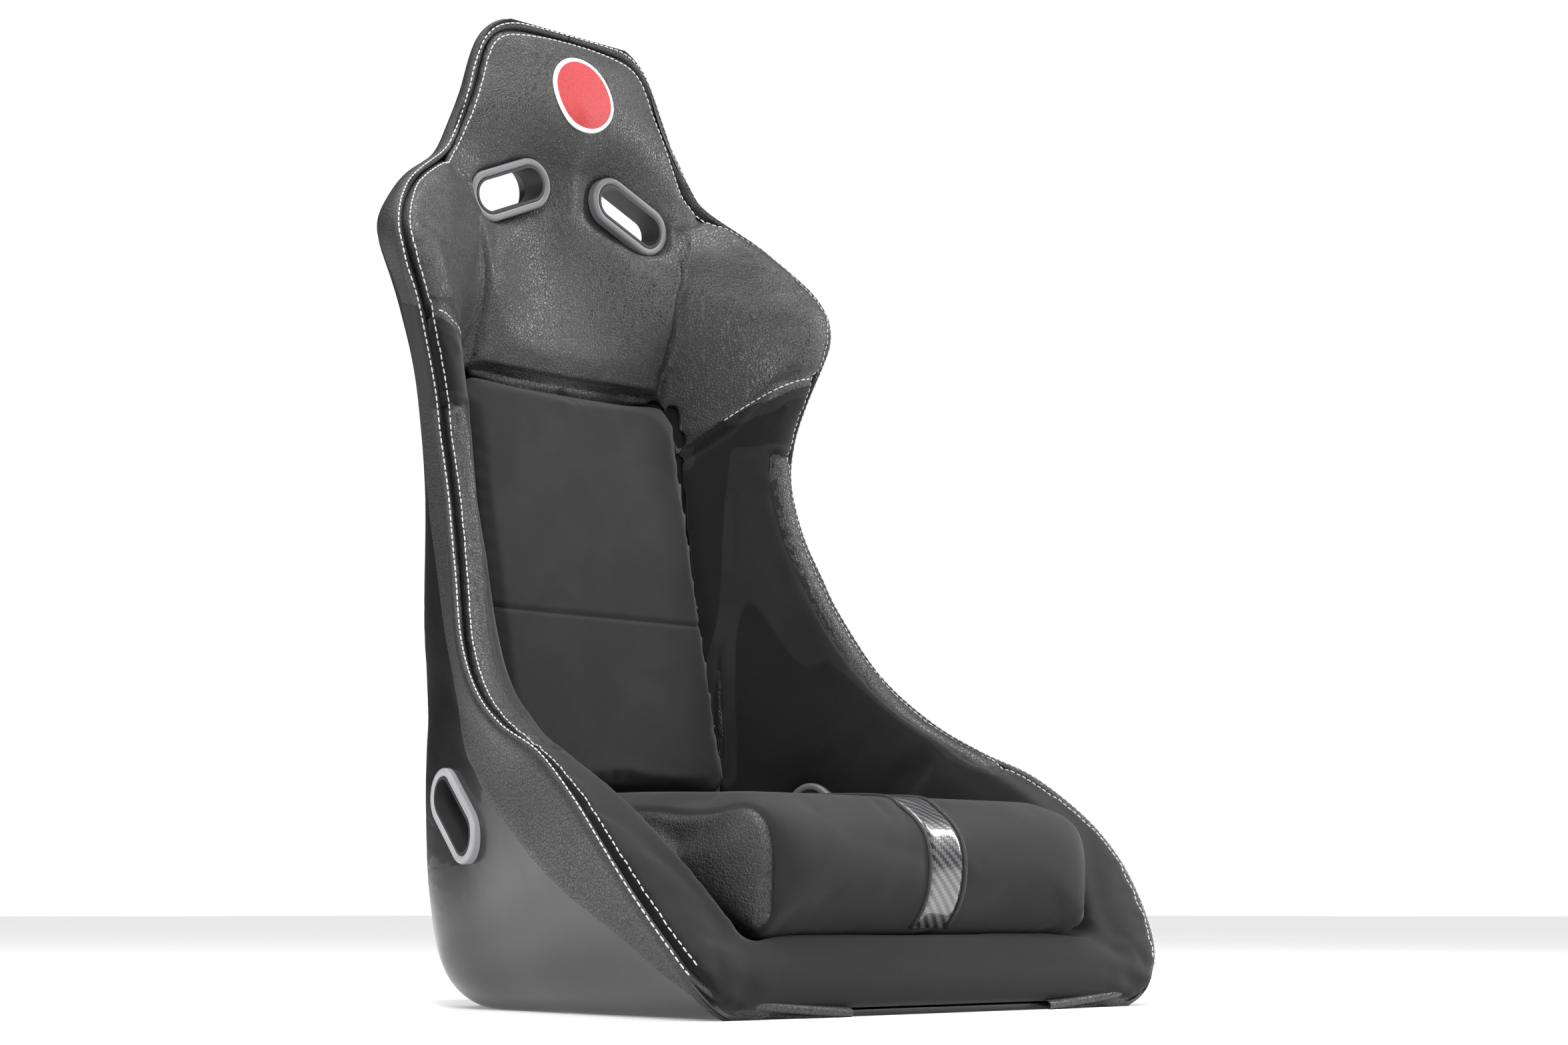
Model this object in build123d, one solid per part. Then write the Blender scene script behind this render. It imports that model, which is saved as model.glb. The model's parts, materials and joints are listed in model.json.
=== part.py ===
from build123d import *
import math
import os

# A fixed-back racing seat: a moulded shell, stitched pads fixed inside it, and a
# seat cushion and a back pad that lift out. Millimetres, +Z up, the sitter faces -Y.

# ---------------------------------------------------------------- driving sizes
SEAT_HEIGHT = 905.0        # floor to the top of the headrest
SHOULDER_HALF = 265.0      # widest point of the shoulder wings
THIGH_HALF = 309.0         # widest point of the thigh bolsters
SHELL_WALL = 5.0           # moulded shell
LAYER_GAP = 0.3            # air between glued layers, so that no two solids share a surface
BAND_SKIN = 2.4            # leather edge band outside the shell
RIM_LAND = 1.0             # flat land at the shell's rim
CREST = 12.0               # how far the pads stand forward of the shell's rim
PAN_TOP = 61.0             # top of the base foam, which the seat cushion rests on
LIFT_GAP = 0.5             # clearance all round the two pads that lift out

BACK_PAD_HALF = 137.0      # back pad, measured across
BACK_PAD_LOW = 184.0       # height of its lower front edge
BACK_PAD_HIGH = 566.0      # height of its upper front edge
BACK_PAD_LOW_Y = 138.0     # how far back its lower front edge lies
BACK_PAD_LEAN = 11.8       # degrees back from vertical
BACK_PAD_THICK = 20.0
SHELL_ROOM = 1.5           # air between the back pad's rear corners and the shell
BACK_PAD_SEAM = 350.0      # height of the seam between its two panels
PAD_CORNER = 26.0

CUSHION_HALF = 203.0       # seat cushion at its front
CUSHION_REAR_HALF = 137.0  # and at its rear
CUSHION_REAR_Y = 132.0
CUSHION_CORNER = 40.0
CUSHION_TAPER_Y = -70.0    # its sides draw in behind here, through the waist
CUSHION_WAIST = (172.0, 60.0)
CUSHION_END = 188.0        # where its leather end panels start
STRIP_HALF = 20.0          # carbon-look strip down its middle
PIPING_R = 2.2
COVER_SKIN = 3.0           # sewn cover over a foam core
TAPE_WIDE, TAPE_THICK = 25.0, 1.2   # hook-and-loop tape
LOOP_THICK = 0.9           # loop tape on the back foam
TAPE_ROOM = 2.9            # groove that holds a hook tape over a loop tape
BACK_TAPES_X = (-80.0, 80.0)
BACK_TAPE_LONG = 273.0
BASE_TAPES_Y = (-120.0, 30.0)
BASE_TAPE_HALF = 104.0

SLOT_R = 14.5              # harness slot: half its clear width
SLOT_SPAN = 51.0           # between the centres of its round ends
LINER_WALL = 2.4           # tunnel liner
FLANGE_R = 24.0            # outer radius of a slot bezel's round ends
FLANGE_THICK = 9.0
REAR_FLANGE = 5.0          # the shoulder slots' rear bezels are thinner
BEZEL_SEAT = 28.0          # flat seat moulded in the shell for each bezel
SHOULDER_SEAT, HIP_SEAT = 6.0, 9.0  # how thick each seat is

SHOULDER_SLOT = (74.5, 740.0)       # centre across and up
SHOULDER_SLOPE = -23.0              # degrees, falling outwards
SHOULDER_FRONT_Y = 226.0            # back face of the front bezels' flanges
SHOULDER_REAR_Y = 240.0             # seat face of the rear bezels, in a recess of the shell's back
HIP_SLOT = (237.0, 79.0, 158.0)     # centre of the slot on the shell's side
HIP_SLOPE = 38.8                    # degrees, rising rearwards
HIP_TOE = 15.0                      # degrees that the slot's axis turns rearwards
HIP_DEPTH = 44.0                    # outer flange to inner flange

INSERT_R = 8.0             # threaded insert's barrel
INSERT_FLANGE_R, INSERT_FLANGE = 19.0, 2.5
INSERT_HOLE_R = 3.4        # M8 tapping size
INSERT_DEEP = 16.0
MOUNT_X, MOUNT_Y = 330.0, 290.0     # bolt pattern in the base, across and along
MOUNT_MID_Y = -55.0
BADGE_R, BADGE_Z, BADGE_Y = 36.5, 842.0, 200.0
BADGE_TILT = 0.24          # rise over run of the headrest's face behind the badge
BADGE_THICK = 2.0
FAR = 420.0                # a length past every face of the seat

# Plan outline of the shell at each height: z, half-width and y of the rim, half-width and y
# where the side meets the rear corner, y of the rear, and the squareness of that corner.
OUTLINE = [
    (0, 232, -238, 200, 20, 168, 2.5),
    (14, 262, -240, 223, 35, 190, 2.5),
    (40, 283, -232, 235, 50, 200, 2.5),
    (74, 298, -212, 240, 60, 203, 2.5),
    (111, 307, -186, 241, 70, 205, 2.5),
    (146, THIGH_HALF, -157, 241, 75, 206, 2.5),
    (182, 303, -113, 240, 80, 207, 2.5),
    (216, 293, -51, 237, 85, 208, 2.5),
    (254, 275, 17, 232, 92, 211, 2.5),
    (300, 254, 63, 229, 102, 217, 2.5),
    (359, 233, 97, 223, 116, 228, 2.4),
    (437, 217, 129, 214, 138, 240, 2.2),
    (509, 217, 144, 216, 148, 250, 2.1),
    (559, 231, 142, 229, 146, 257, 1.95),
    (600, 248, 136, 246, 140, 265, 1.9),
    (633, 262, 135, 260, 139, 269, 1.9),
    (660, SHOULDER_HALF, 142, SHOULDER_HALF, 146, 271, 2.0),
    (693, 247, 161, 247, 165, 270, 2.0),
    (729, 207, 186, 207, 190, 266, 2.1),
    (760, 161, 210, 161, 213, 263, 2.3),
    (786, 145, 215, 145, 218, 261, 2.4),
    (830, 123, 222, 123, 225, 259, 2.5),
    (869, 109, 226, 109, 229, 257, 2.5),
    (893, 93, 227, 93, 230, 255, 2.5),
    (SEAT_HEIGHT, 72, 226, 72, 229, 250, 2.5),
]

# Pads' inner surface at each height: z, then three points across and back from the foot of
# the wall beside the back pad, through the middle of the wall, to the inner side of the crest.
HOLLOW = [
    (PAN_TOP, (142, 150), (182, 60), (208, -250)),
    (110, (142, 152), (186, 60), (226, -206)),
    (146, (142, 154), (190, 60), (242, -177)),
    (182, (142, 156), (194, 50), (255, -133)),
    (216, (142, 158), (198, 50), (256, -71)),
    (254, (142, 165), (200, 60), (240, 0)),
    (300, (142, 174), (192, 92), (222, 46)),
    (359, (142, 187), (181, 127), (203, 81)),
    (437, (142, 203), (173, 155), (188, 115)),
    (509, (141, 217), (168, 174), (187, 128)),
    (559, (138, 226), (172, 176), (200, 125)),
    (600, (123, 212), (172, 170), (215, 120)),
    (633, (120, 199), (176, 162), (228, 119)),
    (660, (122, 198), (178, 164), (231, 126)),
    (693, (126, 199), (174, 173), (214, 146)),
    (729, (132, 203), (160, 190), (178, 172)),
    (768, (140, 212), (148, 209), (154, 205)),
]

# Front of the leather back panel and headrest: z, half-width, y at the seam, y in the middle.
PANEL = [
    (568, 118, 214, 222),
    (600, 118, 204, 223),
    (633, 118, 197, 227),
    (665, 120, 196, 230),
    (700, 126, 198, 228),
    (729, 133, 201, 222),
    (760, 170, 209, 220),
    (786, 152, 214, 211),
    (812, 138, 218, 198),
    (842, 124, 223, 200),
    (869, 114, 226, 207),
    (893, 98, 228, 217),
    (SEAT_HEIGHT, 78, 229, 231),
]
PANEL_FOOT, PANEL_NECK = 567.0, 762.0

# Side view of the leather edge band: its rear edge, back and up, from the neck to the front.
BAND_REAR = [
    (226, 762), (216, 725), (196, 690), (181, 650), (176, 600), (184, 540), (183, 480),
    (166, 420), (142, 365), (121, 313), (95, 272), (66, 221), (43, 203), (-23, 149),
    (-83, 108), (-129, 78), (-168, 52), (-197, 31), (-216, 19), (-236, 11),
]
BAND_FRONT = -262.0        # the band's side view runs forward past the rim to here
# Side view of the seams across the pads.
WING_STITCH = [(60, 628), (138, 589), (157, 566), (176, 541), (212, 514), (FAR, 430)]
BOLSTER_TOP = 512.0        # the bolster's leather starts at this height
BOLSTER_WIDE = 31.0        # leather on the bolster, in from the shell's outside
HIP_SEAM = [(-66, 210), (-45, 262)]  # foot and head of the seam in front of the bolster
ROLL_REAR_Y = -186.0       # rear of the front roll
ROLL_HALF = 196.0
LINER_HALF = 139.0         # back foam between the side pads


# ---------------------------------------------------------------- lofted forms
def rear_corner(wide, start_y, rear_y, square, turns=(25, 50, 72)):
    """Points round the rear corner of a plan outline, a superellipse's quarter."""
    points = []
    for turn in turns:
        angle = math.radians(turn)
        points.append((wide * math.cos(angle) ** (2 / square),
                       start_y + (rear_y - start_y) * math.sin(angle) ** (2 / square)))
    return points


def closed_section(z, half_curve, front_y, arm_x=None):
    """A level face from its right half: a spline round the rear, arms, and a straight front."""
    arm_x = half_curve[0][0] if arm_x is None else arm_x
    right = [(x, y, z) for x, y in half_curve]
    left = [(-x, y, z) for x, y in reversed(half_curve)]
    if abs(half_curve[-1][0]) < 1e-6:
        rear = [Spline(*(right + left[1:]))]
    else:
        rear = [Spline(*right), Line(right[-1], left[0]), Spline(*left)]
    arms = [Line((arm_x, front_y, z), right[0])], [Line(left[-1], (-arm_x, front_y, z))]
    front = [Line((-arm_x, front_y, z), (arm_x, front_y, z))]
    return make_face(arms[0] + rear + arms[1] + front)


def bucket(inset, forward):
    """The seat's filled outer form, inset from the shell's outside, its front moved forward."""
    faces = []
    for z, rim_x, rim_y, side_x, side_y, rear_y, square in OUTLINE:
        level, extra = z, 0.0
        if z == OUTLINE[0][0]:
            level, extra = z + max(inset, 0.0), 0.4 * inset
        if z == OUTLINE[-1][0]:
            level = z - inset
        trim = inset + extra
        corner = rear_corner(side_x - trim, side_y, rear_y - trim, square)
        between = (side_x + 0.35 * (rim_x - side_x) - trim, side_y - 0.35 * (side_y - rim_y))
        curve = [(rim_x - trim, rim_y), between, (side_x - trim, side_y), *corner, (0.0, rear_y - trim)]
        faces.append(closed_section(level, curve, rim_y - forward))
    return loft(faces)


def hollow():
    """The space inside the pads, open at the front."""
    faces = []
    for z, foot, middle, crest in HOLLOW:
        faces.append(closed_section(z, [crest, middle, foot], crest[1] - FAR))
    return loft(faces)


def panel_form():
    """Everything behind the front of the leather back panel, between its seams."""
    faces = []
    for z, half, seam_y, mid_y in PANEL:
        curve = [(half, seam_y), (0.72 * half, seam_y + 0.42 * (mid_y - seam_y)),
                 (0.36 * half, seam_y + 0.86 * (mid_y - seam_y)), (0.0, mid_y)]
        faces.append(closed_section(z, curve, FAR))
    return loft(faces)


def panel_room():
    """The full depth of the seat between the back panel's seams."""
    faces = []
    for z, half, _, _ in PANEL:
        corners = [(half, -FAR, z), (half, FAR, z), (-half, FAR, z), (-half, -FAR, z)]
        faces.append(make_face(Polyline(*corners, close=True)))
    return loft(faces)


def side_prism(outline, low_x, high_x):
    """A side-view outline, back and up, drawn out across the seat."""
    points = [(low_x, y, z) for y, z in outline]
    face = make_face(Polyline(*points, close=True))
    return extrude(face, amount=high_x - low_x, dir=(1, 0, 0))


def block(low, high):
    """A plain box between two corners."""
    size = [b - a for a, b in zip(low, high)]
    mid = [(a + b) / 2 for a, b in zip(low, high)]
    return Pos(*mid) * Box(*size)


def biggest(shape):
    """The largest solid of a result."""
    return max(shape.solids(), key=lambda solid: solid.volume)


def mirrored(shape):
    """The same piece on the seat's other side."""
    return mirror(shape, about=Plane.YZ)


# ---------------------------------------------------------------- harness slots
def slot_prism(frame, radius, low, high):
    """A slot-shaped block between two distances along the plane's normal."""
    face = frame.offset(low) * SlotCenterToCenter(SLOT_SPAN, 2 * radius)
    return extrude(face, amount=high - low)


def bezel(frame, thick):
    """A rounded ring that stands on the plane, round a slot."""
    ring = slot_prism(frame, FLANGE_R, 0, thick)
    ring -= slot_prism(frame, SLOT_R + LINER_WALL, -1, thick + 1)
    lip = 0.42 * (FLANGE_R - SLOT_R - LINER_WALL)
    top = ring.faces().filter_by(GeomType.PLANE).sort_by(Axis(frame.origin, frame.z_dir))[-1]
    return fillet(top.edges(), lip)


def liner(frame, low, high):
    """The tube through a slot."""
    return (slot_prism(frame, SLOT_R + LINER_WALL - 0.1, low, high)
            - slot_prism(frame, SLOT_R, low - 1, high + 1))


def slot_plane(origin, normal, along):
    """A plane whose normal points out of a slot and whose x runs the slot's long way."""
    return Plane(origin=origin, x_dir=along, z_dir=normal)


slope = math.radians(SHOULDER_SLOPE)
shoulder_along = (math.cos(slope), 0, math.sin(slope))
slot_x, slot_z = SHOULDER_SLOT
shoulder_front = slot_plane((slot_x, SHOULDER_FRONT_Y, slot_z), (0, -1, 0), shoulder_along)
shoulder_rear = slot_plane((slot_x, SHOULDER_REAR_Y, slot_z), (0, 1, 0), shoulder_along)

toe, rise = math.radians(HIP_TOE), math.radians(HIP_SLOPE)
hip_out = Vector(math.cos(toe), math.sin(toe), 0)
hip_level = Vector(-math.sin(toe), math.cos(toe), 0)
hip_along = hip_level * math.cos(rise) + Vector(0, 0, math.sin(rise))
hip_outer = slot_plane(HIP_SLOT, hip_out, hip_along)
hip_inner = slot_plane(Vector(*HIP_SLOT) - hip_out * HIP_DEPTH, hip_out * -1, hip_along)
BEZELS = {
    "shoulder_bezel_front": (shoulder_front, FLANGE_THICK),
    "shoulder_bezel_rear": (shoulder_rear, REAR_FLANGE),
    "hip_bezel_outer": (hip_outer, FLANGE_THICK),
    "hip_bezel_inner": (hip_inner, FLANGE_THICK),
}
TUNNEL_R = SLOT_R + LINER_WALL + LAYER_GAP
POCKET_R = FLANGE_R + LAYER_GAP
CUT_REACH = 50.0           # past the faces round a slot


def slot_cuts(front, rear, depth):
    """What a slot removes from the pads and shell: its tunnel, and a pocket for each bezel."""
    tunnel = slot_prism(rear, TUNNEL_R, -depth - CUT_REACH, CUT_REACH)
    pockets = [slot_prism(side, POCKET_R, 0, CUT_REACH) for side in (front, rear)]
    return [tunnel, *pockets]


shoulder_depth = SHOULDER_REAR_Y - SHOULDER_FRONT_Y
shoulder_cuts = slot_cuts(shoulder_front, shoulder_rear, shoulder_depth)
hip_cuts = slot_cuts(hip_inner, hip_outer, HIP_DEPTH)

# ---------------------------------------------------------------- lift-out back pad
lean = math.radians(BACK_PAD_LEAN)
pad_up = Vector(0, math.sin(lean), math.cos(lean))
pad_out = Vector(0, -math.cos(lean), math.sin(lean))
pad_long = (BACK_PAD_HIGH - BACK_PAD_LOW) / math.cos(lean)
pad_face = Plane(origin=(0, BACK_PAD_LOW_Y, BACK_PAD_LOW), x_dir=(1, 0, 0), z_dir=pad_out)


def pad_block(grow, low, high, corner):
    """The back pad's form, grown all round, between two depths along its normal."""
    middle = pad_face.offset(low) * Pos(0, pad_long / 2)
    face = middle * RectangleRounded(2 * (BACK_PAD_HALF + grow), pad_long + 2 * grow, corner)
    return extrude(face, amount=high - low)


pad_room = pad_block(LIFT_GAP, -BACK_PAD_THICK - LIFT_GAP, 160, PAD_CORNER)
pad_outer = pad_block(0, -BACK_PAD_THICK, 0, PAD_CORNER) & bucket(SHELL_WALL + SHELL_ROOM, FAR)
pad_foam = pad_block(-COVER_SKIN, -BACK_PAD_THICK + COVER_SKIN, -COVER_SKIN, PAD_CORNER - COVER_SKIN)
pad_foam &= bucket(SHELL_WALL + SHELL_ROOM + COVER_SKIN, FAR)
pad_cover = pad_outer - pad_foam
seam_along = (BACK_PAD_SEAM - BACK_PAD_LOW) / math.cos(lean)
pad_seam = Plane(origin=pad_face.origin + pad_up * seam_along, z_dir=pad_up)


def pad_tape(mid_x, low, high, grow=0.0):
    """A strip up the back pad between two depths along its normal."""
    outline = Rectangle(TAPE_WIDE + grow, BACK_TAPE_LONG + grow)
    return extrude(pad_face.offset(low) * Pos(mid_x, pad_long / 2) * outline, amount=high - low)


pad_back = -BACK_PAD_THICK
groove_floor = pad_back + TAPE_ROOM - 1.0
pad_grooves = [pad_tape(x, pad_back - 1.0, groove_floor, 1.0) for x in BACK_TAPES_X]
pad_tapes = [pad_tape(x, groove_floor - 0.1 - TAPE_THICK, groove_floor - 0.1) for x in BACK_TAPES_X]
liner_face = pad_back - LIFT_GAP
liner_tapes = [pad_tape(x, liner_face, liner_face + LOOP_THICK) for x in BACK_TAPES_X]

# ---------------------------------------------------------------- lift-out seat cushion
CUSHION_PROFILE = [(-229, 62.5), (-247, 88), (-253, 116), (-245, 146), (-222, 162), (-186, 168)]
CUSHION_REAR_TOP = 176.0


def mirrored_outline(half_points):
    """A closed face in plan from the points of its right half, front to rear."""
    left = [(-x, y) for x, y in reversed(half_points)]
    return make_face(Polyline(*half_points, *left, close=True))


def cushion_form(inset, bottom, up=0.0):
    """The seat cushion's form, inset all round; up stretches its top to clear its way out."""
    nose = [(0, y + inset, z) for y, z in CUSHION_PROFILE[1:-1]]
    start = (0, CUSHION_PROFILE[0][0] + inset, bottom)
    crest = (0, CUSHION_PROFILE[-1][0] + inset, CUSHION_PROFILE[-1][1] - inset)
    rear_y = CUSHION_REAR_Y - inset
    rear_top, rear_low = (0, rear_y, CUSHION_REAR_TOP - inset), (0, rear_y, bottom)
    front = Spline(start, *nose, crest, tangents=((0, -1, 1), (0, 1, 0.08)))
    sides = [Line(crest, rear_top), Line(rear_top, rear_low), Line(rear_low, start)]
    body = extrude(make_face([front, *sides]), amount=CUSHION_HALF, dir=(1, 0, 0), both=True)
    nose_y = CUSHION_PROFILE[2][0] + inset
    if up:
        body += block((-CUSHION_HALF, nose_y + 20, bottom + 60), (CUSHION_HALF, rear_y, up))
    front_half, rear_half = CUSHION_HALF - inset, CUSHION_REAR_HALF - inset
    waist_x, waist_y = CUSHION_WAIST
    plan = mirrored_outline([(front_half, -FAR), (front_half, CUSHION_TAPER_Y),
                             (waist_x - inset, waist_y), (rear_half, CUSHION_REAR_Y + 10)])
    rounded = RectangleRounded(2 * front_half, FAR, CUSHION_CORNER - inset)
    corners = Pos(0, nose_y - 1 + FAR / 2) * rounded
    return body & extrude(plan, amount=FAR, both=True) & extrude(corners, amount=FAR, both=True)


cushion_low = PAN_TOP + LIFT_GAP
cushion_foam = cushion_form(COVER_SKIN, cushion_low + COVER_SKIN)
cushion_cover = cushion_form(0, cushion_low) - cushion_foam
cushion_room = cushion_form(-LIFT_GAP, PAN_TOP, up=FAR)


def base_tape(mid_y, low, high, grow=0.0):
    """A strip across the base between two heights."""
    half_x, half_y = BASE_TAPE_HALF + grow, TAPE_WIDE / 2 + grow
    return block((-half_x, mid_y - half_y, low), (half_x, mid_y + half_y, high))


groove_top = PAN_TOP + TAPE_ROOM
cushion_grooves = [base_tape(y, cushion_low - 1, groove_top, 0.5) for y in BASE_TAPES_Y]
cushion_tapes = [base_tape(y, groove_top - 0.1 - TAPE_THICK, groove_top - 0.1) for y in BASE_TAPES_Y]
pan_tapes = [base_tape(y, PAN_TOP, PAN_TOP + TAPE_THICK) for y in BASE_TAPES_Y]
for groove in cushion_grooves:
    cushion_cover -= groove
for groove in pad_grooves:
    pad_cover -= groove
    pad_foam -= groove

parts = {}
# ---------------------------------------------------------------- shell
outside = bucket(0, RIM_LAND)
inside = bucket(SHELL_WALL, FAR)
shell = outside - inside
slot_seats = [
    slot_prism(shoulder_rear, BEZEL_SEAT, -SHOULDER_SEAT, CUT_REACH) & outside,
    slot_prism(hip_outer, BEZEL_SEAT, -HIP_SEAT, 0),
]
seat_room = [
    slot_prism(shoulder_rear, BEZEL_SEAT + LAYER_GAP, -SHOULDER_SEAT - LAYER_GAP, CUT_REACH),
    slot_prism(hip_outer, BEZEL_SEAT + LAYER_GAP, -HIP_SEAT - LAYER_GAP, CUT_REACH),
]
for seat in slot_seats:
    shell = shell + seat + mirrored(seat)
for tunnel, _, rear_pocket in (shoulder_cuts, hip_cuts):
    for cut in (tunnel, rear_pocket):
        shell = shell - cut - mirrored(cut)
insert_places = [(x, MOUNT_MID_Y + y)
                 for x in (-MOUNT_X / 2, MOUNT_X / 2) for y in (-MOUNT_Y / 2, MOUNT_Y / 2)]
for x, y in insert_places:
    shell -= Pos(x, y, 0) * Cylinder(INSERT_R + LAYER_GAP, 60)
parts["shell"] = biggest(shell)

# ---------------------------------------------------------------- threaded inserts in the base
flange_low = SHELL_WALL + LAYER_GAP
insert_high = INSERT_DEEP + 4.0


def post(x, y, low, radius, high):
    """An upright cylinder that stands at a height."""
    return Pos(x, y, low) * Cylinder(radius, high, align=(Align.CENTER, Align.CENTER, Align.MIN))


inserts, insert_room = [], []
for x, y in insert_places:
    barrel = post(x, y, 0, INSERT_R, insert_high)
    flange = post(x, y, flange_low, INSERT_FLANGE_R, INSERT_FLANGE)
    inserts.append(barrel + flange - post(x, y, -1, INSERT_HOLE_R, INSERT_DEEP + 1))
    insert_room.append(post(x, y, -1, INSERT_FLANGE_R + LAYER_GAP, insert_high + LAYER_GAP + 1))
parts["base_inserts"] = Compound(inserts)

# ---------------------------------------------------------------- edge bands
skin = bucket(-BAND_SKIN, RIM_LAND) - bucket(-LAYER_GAP, FAR)
band_zone = side_prism(BAND_REAR + [(BAND_FRONT, 5), (BAND_FRONT, 762)], 60, FAR)
band_right = biggest(skin & band_zone)

# ---------------------------------------------------------------- pads fixed in the shell
lining_form = bucket(SHELL_WALL + LAYER_GAP, CREST)
panel_zone = block((-FAR, -FAR, PANEL_FOOT), (FAR, FAR, FAR * 3))
upper_block = (panel_form() & panel_zone) & (bucket(SHELL_WALL + LAYER_GAP, 60) & panel_zone)
upper_panel = upper_block
for cut in (*shoulder_cuts, seat_room[0]):
    upper_panel = upper_panel - cut - mirrored(cut)
badge_plane = Plane(origin=(0, BADGE_Y, BADGE_Z), x_dir=(-1, 0, 0), z_dir=(0, -1, BADGE_TILT))
badge = extrude(badge_plane.offset(-BADGE_THICK) * Circle(BADGE_R), amount=BADGE_THICK)
upper_panel -= extrude(badge_plane.offset(-BADGE_THICK - LAYER_GAP) * Circle(BADGE_R + LAYER_GAP), amount=40)
parts["upper_back_panel"] = biggest(upper_panel)
parts["headrest_badge"] = badge

lining = lining_form - hollow()
lining &= block((0, -FAR, 0), (FAR, FAR, PANEL_NECK))
lining = lining - pad_room - cushion_room
lining = lining - (panel_room() & panel_zone) - upper_block
for cut in shoulder_cuts + hip_cuts + seat_room:
    lining -= cut
for room in insert_room:
    lining -= room

above_stitch = side_prism(WING_STITCH + [(FAR, 900), (-FAR, 900), (-FAR, 628)], 0, FAR)
wing = lining & above_stitch
lower = lining - above_stitch
seam_foot, seam_head = HIP_SEAM
seam_run = (seam_head[0] - seam_foot[0]) / (seam_head[1] - seam_foot[1])
seam_line = [(seam_foot[0] + seam_run * (z - seam_foot[1]), z) for z in (0, 420)]
fore_zone = side_prism(seam_line + [(-FAR, 420), (-FAR, 0)], -1, FAR)
pan_zone = block((-1, ROLL_REAR_Y, 0), (CUSHION_HALF - 30, FAR, PAN_TOP + 0.01))
roll_zone = block((-1, -FAR, 0), (ROLL_HALF, ROLL_REAR_Y, PAN_TOP + 30))
liner_zone = block((-1, 0, PAN_TOP + 0.01), (LINER_HALF, FAR, PANEL_FOOT))
pan = lower & pan_zone
roll = lower & roll_zone
back_liner = lower & liner_zone
rest = lower - pan_zone - roll_zone - liner_zone
thigh = rest & fore_zone
aft = rest - fore_zone
bolster_zone = block((0, -FAR, 0), (FAR, FAR, BOLSTER_TOP)) - bucket(BOLSTER_WIDE, FAR)
bolster = aft & bolster_zone & block((0, -FAR, 205), (FAR, 170, BOLSTER_TOP))
side_pad = aft - bolster

SIDED = {
    "edge_band": band_right,
    "shoulder_wing": biggest(wing),
    "side_pad": biggest(side_pad),
    "bolster": biggest(bolster),
    "thigh_pad": biggest(thigh),
    "shoulder_slot_liner": liner(shoulder_rear, -shoulder_depth - FLANGE_THICK + 1, REAR_FLANGE - 1),
    "hip_slot_liner": liner(hip_outer, -HIP_DEPTH - FLANGE_THICK + 1, FLANGE_THICK - 1),
}
for name, (frame, thick) in BEZELS.items():
    SIDED[name] = bezel(frame, thick)
for name, solid in SIDED.items():
    parts[name + "_right"] = solid
    parts[name + "_left"] = mirrored(solid)


def both_halves(half):
    """A middle piece joined from its right half and the mirror of it."""
    return half + mirrored(half)


parts["seat_base_foam"] = biggest(both_halves(biggest(pan)))
parts["front_roll"] = biggest(both_halves(biggest(roll)))
parts["back_foam"] = biggest(both_halves(biggest(back_liner)))
parts["base_loop_tapes"] = Compound(pan_tapes)
parts["back_loop_tapes"] = Compound(liner_tapes)

# ---------------------------------------------------------------- the two lift-out pads' pieces
above_seam = extrude(pad_seam * Rectangle(FAR, FAR), amount=FAR)
parts["back_pad_upper"] = biggest(pad_cover & above_seam)
parts["back_pad_lower"] = biggest(pad_cover - above_seam)
parts["back_pad_foam"] = pad_foam
parts["back_pad_hook_tapes"] = Compound(pad_tapes)

strip_zone = block((-STRIP_HALF, -FAR, 0), (STRIP_HALF, FAR, FAR))
end_zone = block((CUSHION_END, -FAR, 0), (FAR, FAR, FAR))
piping_low = (STRIP_HALF, -FAR, cushion_low + 1)
piping_zone = block(piping_low, (STRIP_HALF + 2 * PIPING_R, FAR, FAR))
half_zone = block((0, -FAR, 0), (FAR, FAR, FAR))
parts["cushion_strip"] = biggest(cushion_cover & strip_zone)
for name, placed in (("left", mirrored), ("right", lambda zone: zone)):
    end, piping, half = placed(end_zone), placed(piping_zone), placed(half_zone)
    parts["cushion_end_" + name] = biggest(cushion_cover & end)
    parts["cushion_piping_" + name] = biggest(cushion_cover & piping)
    parts["cushion_cover_" + name] = biggest((cushion_cover & half) - strip_zone - end - piping)
parts["cushion_foam"] = cushion_foam
parts["cushion_hook_tapes"] = Compound(cushion_tapes)

# ---------------------------------------------------------------- centre the seat and write it
for name, piece in parts.items():
    print(name, round(piece.volume / 1000, 1), len(piece.solids()))
boxes = [piece.bounding_box() for piece in parts.values()]
shift_y = -(min(b.min.Y for b in boxes) + max(b.max.Y for b in boxes)) / 2
os.makedirs("parts", exist_ok=True)
for name, piece in parts.items():
    export_step(Pos(0, shift_y, 0) * piece, f"parts/{name}.step")
print("seat moved along Y by", round(shift_y, 3))
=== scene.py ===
import json
import math

import bmesh
import bpy
from bpy.props import FloatProperty, FloatVectorProperty, IntProperty, PointerProperty
from mathutils import Matrix, Vector
from mathutils.bvhtree import BVHTree

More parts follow.
